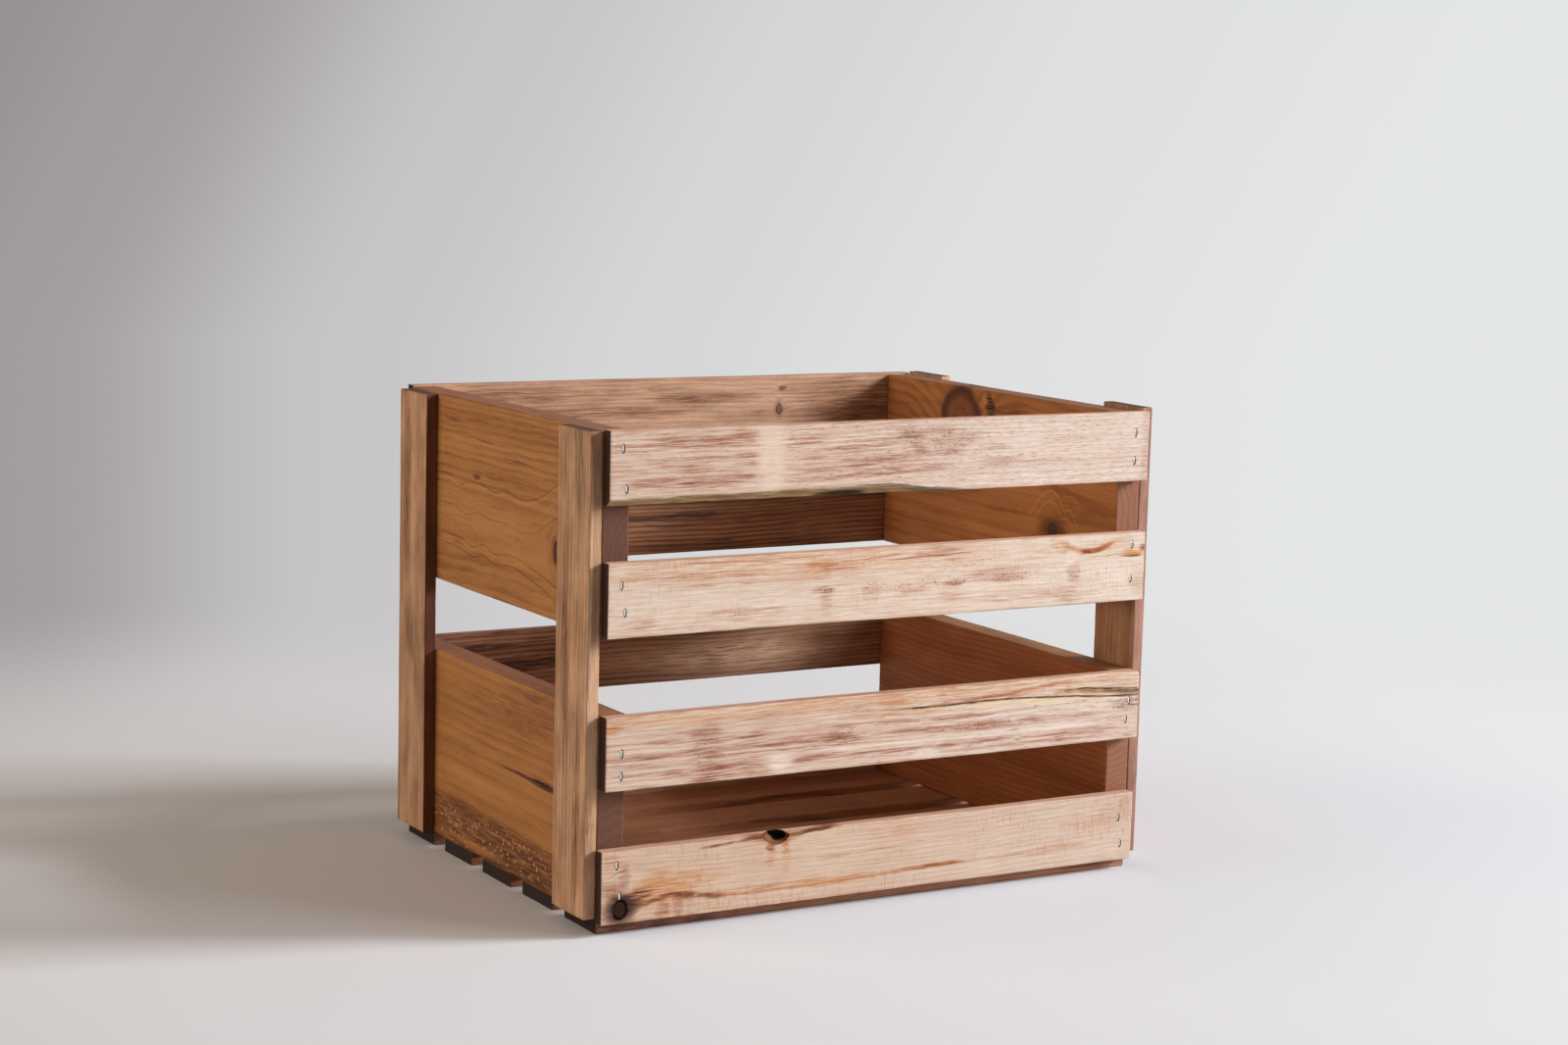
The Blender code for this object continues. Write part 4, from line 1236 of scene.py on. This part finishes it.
staple_nodes = [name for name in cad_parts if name.startswith("staple")]
boards = {}
families = {}
for seed, name in enumerate(sorted(set(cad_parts) - set(staple_nodes)), 1):
    families[name] = next(family for word, family in FAMILIES.items() if word in name)
    boards[name] = Board(name, families[name][2], seed)

# Every driven staple: the board that shows its crown, the crown's place, the way the legs
# go and the way the crown lies.
hits = {name: [] for name in boards}
for name in staple_nodes:
    _, side, row = name.split("_")[:3]
    slat = boards[f"{side}_slat_{row}"]
    low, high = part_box(name)
    inward = Vector((0, 1 if side == "front" else -1, 0))
    face = slat.low.y if side == "front" else slat.high.y
    mouth = Vector(((low.x + high.x) / 2, face, (low.z + high.z) / 2))
    hits[slat.node].append((mouth, inward, UP))

# The staples that hold the posts and the bottom slats aren't in the CAD model. Posts are
# stapled from inside the crate, the bottom slats from underneath.
BOTTOM_SLATS = 5
BOTTOM_STAPLE_SLIP = 2.4
HALF_STAPLE_SPACING = 12
POST_STAPLE_SLIP = 6.0

# Two staples at the front post and two at the rear one, by their height in mm.
POST_STAPLE_HEIGHTS = {
    "left_end_board_lower": ((30, 62), (34, 104)),
    "left_end_board_upper": ((200, 262), (196, 266)),
    "right_end_board_lower": ((30, 108), (28, 60)),
    "right_end_board_upper": ((200, 264), (233, 262)),
}
extra = []
chance = np.random.default_rng(5)
left_end = boards["left_end_board_lower"]
end_middle = (left_end.low.x + left_end.high.x) / 2
for index in range(1, BOTTOM_SLATS + 1):
    slat = boards[f"bottom_slat_{index}"]
    middle = (slat.low.y + slat.high.y) / 2
    for side in (-1, 1):
        for way in (-1, 1):
            slip = chance.uniform(-BOTTOM_STAPLE_SLIP, BOTTOM_STAPLE_SLIP, 2) * MM
            y = middle + way * HALF_STAPLE_SPACING * MM + slip[1]
            mouth = Vector((-side * end_middle + slip[0], y, slat.low.z))
            extra.append((slat.node, mouth, UP, Vector((0, 1, 0))))
for name, heights in POST_STAPLE_HEIGHTS.items():
    end = boards[name]
    hand = "left" if "left" in name else "right"
    face = end.high.x if hand == "left" else end.low.x
    inward = Vector((-1 if hand == "left" else 1, 0, 0))
    for side, pair in zip(("front", "rear"), heights):
        post = boards[f"corner_post_{side}_{hand}"]
        middle = (post.low.y + post.high.y) / 2
        for height in pair:
            slip = chance.uniform(-POST_STAPLE_SLIP, POST_STAPLE_SLIP) * MM
            mouth = Vector((face, middle + slip, height * MM))
            extra.append((name, mouth, inward, UP))
for name, mouth, inward, upright in extra:
    hits[name].append((mouth, inward, upright))

# Stretches of (start, end, step) in mm that are cut finer along, across and through a
# board, and the surface that takes more of it away.
SAWING = {
    "front_slat_top": {
        "dense": ([(1.9, 250.0, 2.4)], [(1.9, 7.4, 0.5)], [(1.9, 6.2, 0.7)]),
        "cut": wane_distance,
    },
    "front_slat_lowest": {
        "dense": ([(72.0, 170.0, 1.8)], [(38.0, 43.2, 0.7)], ()),
        "cut": dish_distance,
    },
}

for name, board in boards.items():
    base, slot, _ = families[name]
    look = look_of(name, base)
    piece = saw_board(board, look["worn"], **SAWING.get(name, {}))
    shapes = [oval_cutter(*hit, board.seed * 10 + count) for count, hit in enumerate(hits[name])]
    if name == "front_slat_lowest":
        shapes.append(knot_cutter(board))
    if shapes:
        cut_away(piece, shapes)
    piece.data.materials.clear()
    piece.data.materials.append(make_wood(board, look, hits[name]))
    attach(piece, "root")
    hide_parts(name)


# ---------------------------------------------------------------- staples

CROWN_SINK = 0.4


def make_steel():
    """Bright drawn wire with a little grime."""
    material, tree, shader = new_material("staple_steel_wire")
    coordinates = tree.nodes.new("ShaderNodeTexCoord")
    speckle = tree.nodes.new("ShaderNodeTexNoise")
    feed(speckle.inputs["Scale"], 900.0)
    feed(speckle.inputs["Vector"], coordinates.outputs["Object"])
    amount = Field(speckle.outputs[0])
    mixer = tree.nodes.new("ShaderNodeMix")
    mixer.data_type = "RGBA"
    feed(mixer.inputs[0], amount.smooth(0.35, 0.75))
    feed(mixer.inputs[6], shade(236, 234, 228))
    feed(mixer.inputs[7], shade(176, 170, 160))
    feed(shader.inputs["Base Color"], mixer.outputs[2])
    feed(shader.inputs["Roughness"], amount * 0.3 + 0.15)
    feed(shader.inputs["Metallic"], 0.55)
    return material


def drive_staples(label, board_word, steel):
    """Copies of the CAD staple in one kind of board, in the places the CAD model leaves out."""
    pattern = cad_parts["staple_front_lowest_left_1"]
    low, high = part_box(pattern.name)
    origin = Vector(((low.x + high.x) / 2, low.y, (low.z + high.z) / 2))
    total = bmesh.new()
    for name, mouth, inward, upright in extra:
        if board_word not in name:
            continue
        turn = Matrix((inward.cross(upright), inward, upright)).transposed()
        before = len(total.verts)
        total.from_mesh(pattern.data)
        total.verts.ensure_lookup_table()
        for vert in total.verts[before:]:
            vert.co = mouth + inward * (CROWN_SINK * MM) + turn @ (vert.co - origin)
    total.normal_update()
    bmesh.ops.recalc_face_normals(total, faces=total.faces)
    mesh = bpy.data.meshes.new(label)
    total.to_mesh(mesh)
    total.free()
    mesh.materials.clear()
    mesh.materials.append(steel)
    thing = add_object(label, mesh)
    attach(thing, "root")


steel = make_steel()
for name in staple_nodes:
    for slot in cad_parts[name].material_slots:
        slot.material = steel
drive_staples("bottom_staples", "bottom", steel)
drive_staples("post_staples", "end_board", steel)


# ---------------------------------------------------------------- studio

FLOOR_HALF = 3.0
FLOOR_FADE = (0.45, 1.15)
SOFT_LIGHT = (1.0, 0.84, 0.70, 1.0)
SOFT_LIGHT_STRENGTH = 0.2
TOWARDS_KEY = Vector((0.914, -0.404, 0.0))

# The background's colours, from away from the key lamp to towards it.
BACKGROUND = ((-0.20, (150, 145, 148)), (-0.14, (162, 157, 158)), (-0.03, (199, 197, 199)),
              (0.07, (214, 214, 215)), (0.17, (223, 225, 224)), (0.30, (228, 231, 230)))

# Lamps: name, direction, distance, width, height, power and colour.
LAMPS = (
    ("key_lamp", (0.846, -0.340, 0.411), 5.0, 1.25, 1.25, 310.0, (0.97, 0.985, 1.0)),
    ("front_lamp", (0.70, -0.60, 0.36), 3.0, 1.6, 1.2, 47.0, (0.97, 0.985, 1.0)),
    ("left_lamp", (-0.82, 0.25, 0.52), 3.0, 2.2, 1.6, 39.0, (1.0, 0.82, 0.64)),
)

CAMERA_PLACE = (-0.97366, -1.66927, 0.48699)
CAMERA_AZIMUTH = math.radians(-30.52358)
CAMERA_ELEVATION = math.radians(7.86654)
CAMERA_ROLL = math.radians(1.47992)
CAMERA_LENS = 68.0636


def blend_shaders(tree, share, first, second, output):
    """Show one shader, or another where share is 1."""
    blend = tree.nodes.new("ShaderNodeMixShader")
    for slot, value in zip(blend.inputs, (share, first, second)):
        feed(slot, value)
    feed(tree.nodes[output].inputs["Surface"], blend.outputs[0])


def make_floor():
    """A wide pale floor that fades into the background well behind the crate."""
    shape = bmesh.new()
    bmesh.ops.create_grid(shape, x_segments=24, y_segments=24, size=FLOOR_HALF)
    mesh = bpy.data.meshes.new("studio_floor")
    shape.to_mesh(mesh)
    shape.free()
    material, tree, shader = new_material("studio_floor")
    feed(shader.inputs["Base Color"], shade(210, 212, 218))
    feed(shader.inputs["Roughness"], 0.85)
    feed(shader.inputs["Specular IOR Level"], 0.1)
    coordinates = tree.nodes.new("ShaderNodeTexCoord")
    length = tree.nodes.new("ShaderNodeVectorMath")
    length.operation = "LENGTH"
    feed(length.inputs[0], coordinates.outputs["Object"])
    fade = Field(length.outputs["Value"]).smooth(*FLOOR_FADE)
    clear = tree.nodes.new("ShaderNodeBsdfTransparent")
    blend_shaders(tree, fade, shader.outputs[0], clear.outputs[0], "Material Output")
    mesh.materials.append(material)
    floor = add_object("studio_floor", mesh)
    floor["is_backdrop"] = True


def make_world():
    """Soft light from all round, and a pale background that is darker away from the lamp."""
    world = bpy.data.worlds.new("studio")
    bpy.context.scene.world = world
    world.use_nodes = True
    tree = world.node_tree
    lighting = tree.nodes["Background"]
    feed(lighting.inputs["Color"], SOFT_LIGHT)
    feed(lighting.inputs["Strength"], SOFT_LIGHT_STRENGTH)
    direction = tree.nodes.new("ShaderNodeTexCoord").outputs["Generated"]
    dot = tree.nodes.new("ShaderNodeVectorMath")
    dot.operation = "DOT_PRODUCT"
    feed(dot.inputs[0], direction)
    feed(dot.inputs[1], TOWARDS_KEY)
    height = tree.nodes.new("ShaderNodeSeparateXYZ")
    feed(height.inputs[0], direction)
    dimmer = (Field(height.outputs["Z"]) + 0.08).above(0.0) * 0.5
    low, high = BACKGROUND[0][0], BACKGROUND[-1][0]
    ramp = tree.nodes.new("ShaderNodeValToRGB")
    feed(ramp.inputs[0], (Field(dot.outputs["Value"]) - dimmer - low) * (1.0 / (high - low)))
    ramp.color_ramp.interpolation = "EASE"
    while len(ramp.color_ramp.elements) < len(BACKGROUND):
        ramp.color_ramp.elements.new(0.5)
    for element, (at, colour) in zip(ramp.color_ramp.elements, BACKGROUND):
        element.position = (at - low) / (high - low)
        element.color = shade(*colour)
    backdrop = tree.nodes.new("ShaderNodeBackground")
    feed(backdrop.inputs["Color"], ramp.outputs[0])
    rays = tree.nodes.new("ShaderNodeLightPath")
    seen = Field(rays.outputs["Is Camera Ray"])
    for kind in ("Is Glossy Ray", "Is Transmission Ray"):
        seen = seen.above(Field(rays.outputs[kind]))
    blend_shaders(tree, seen, lighting.outputs[0], backdrop.outputs[0], "World Output")


def make_lamp(name, direction, distance, width, height, power, colour):
    """A soft box that faces the crate."""
    light = bpy.data.lights.new(name, "AREA")
    light.shape = "RECTANGLE"
    light.size = width
    light.size_y = height
    light.energy = power
    light.color = colour
    lamp = add_object(name, light)
    away = Vector(direction).normalized()
    lamp.location = (CAD_LOW + CAD_HIGH) / 2 + away * distance
    lamp.rotation_euler = away.to_track_quat("Z", "Y").to_euler()


def make_camera():
    """The camera, at the angle the crate is looked at."""
    flat = math.cos(CAMERA_ELEVATION)
    ahead = Vector((-math.sin(CAMERA_AZIMUTH) * flat, math.cos(CAMERA_AZIMUTH) * flat,
                    -math.sin(CAMERA_ELEVATION)))
    level = ahead.cross(UP).normalized()
    above = level.cross(ahead)
    right = level * math.cos(CAMERA_ROLL) + above * math.sin(CAMERA_ROLL)
    up = above * math.cos(CAMERA_ROLL) - level * math.sin(CAMERA_ROLL)
    data = bpy.data.cameras.new("camera")
    data.lens = CAMERA_LENS
    data.sensor_width = 36.0
    data.clip_start = 0.05
    camera = add_object("camera", data)
    turn = Matrix((right, up, -ahead)).transposed().to_4x4()
    camera.matrix_world = Matrix.Translation(CAMERA_PLACE) @ turn
    bpy.context.scene.camera = camera


make_floor()
make_world()
for lamp in LAMPS:
    make_lamp(*lamp)
make_camera()
bpy.context.scene.view_settings.view_transform = "Standard"

low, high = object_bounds()
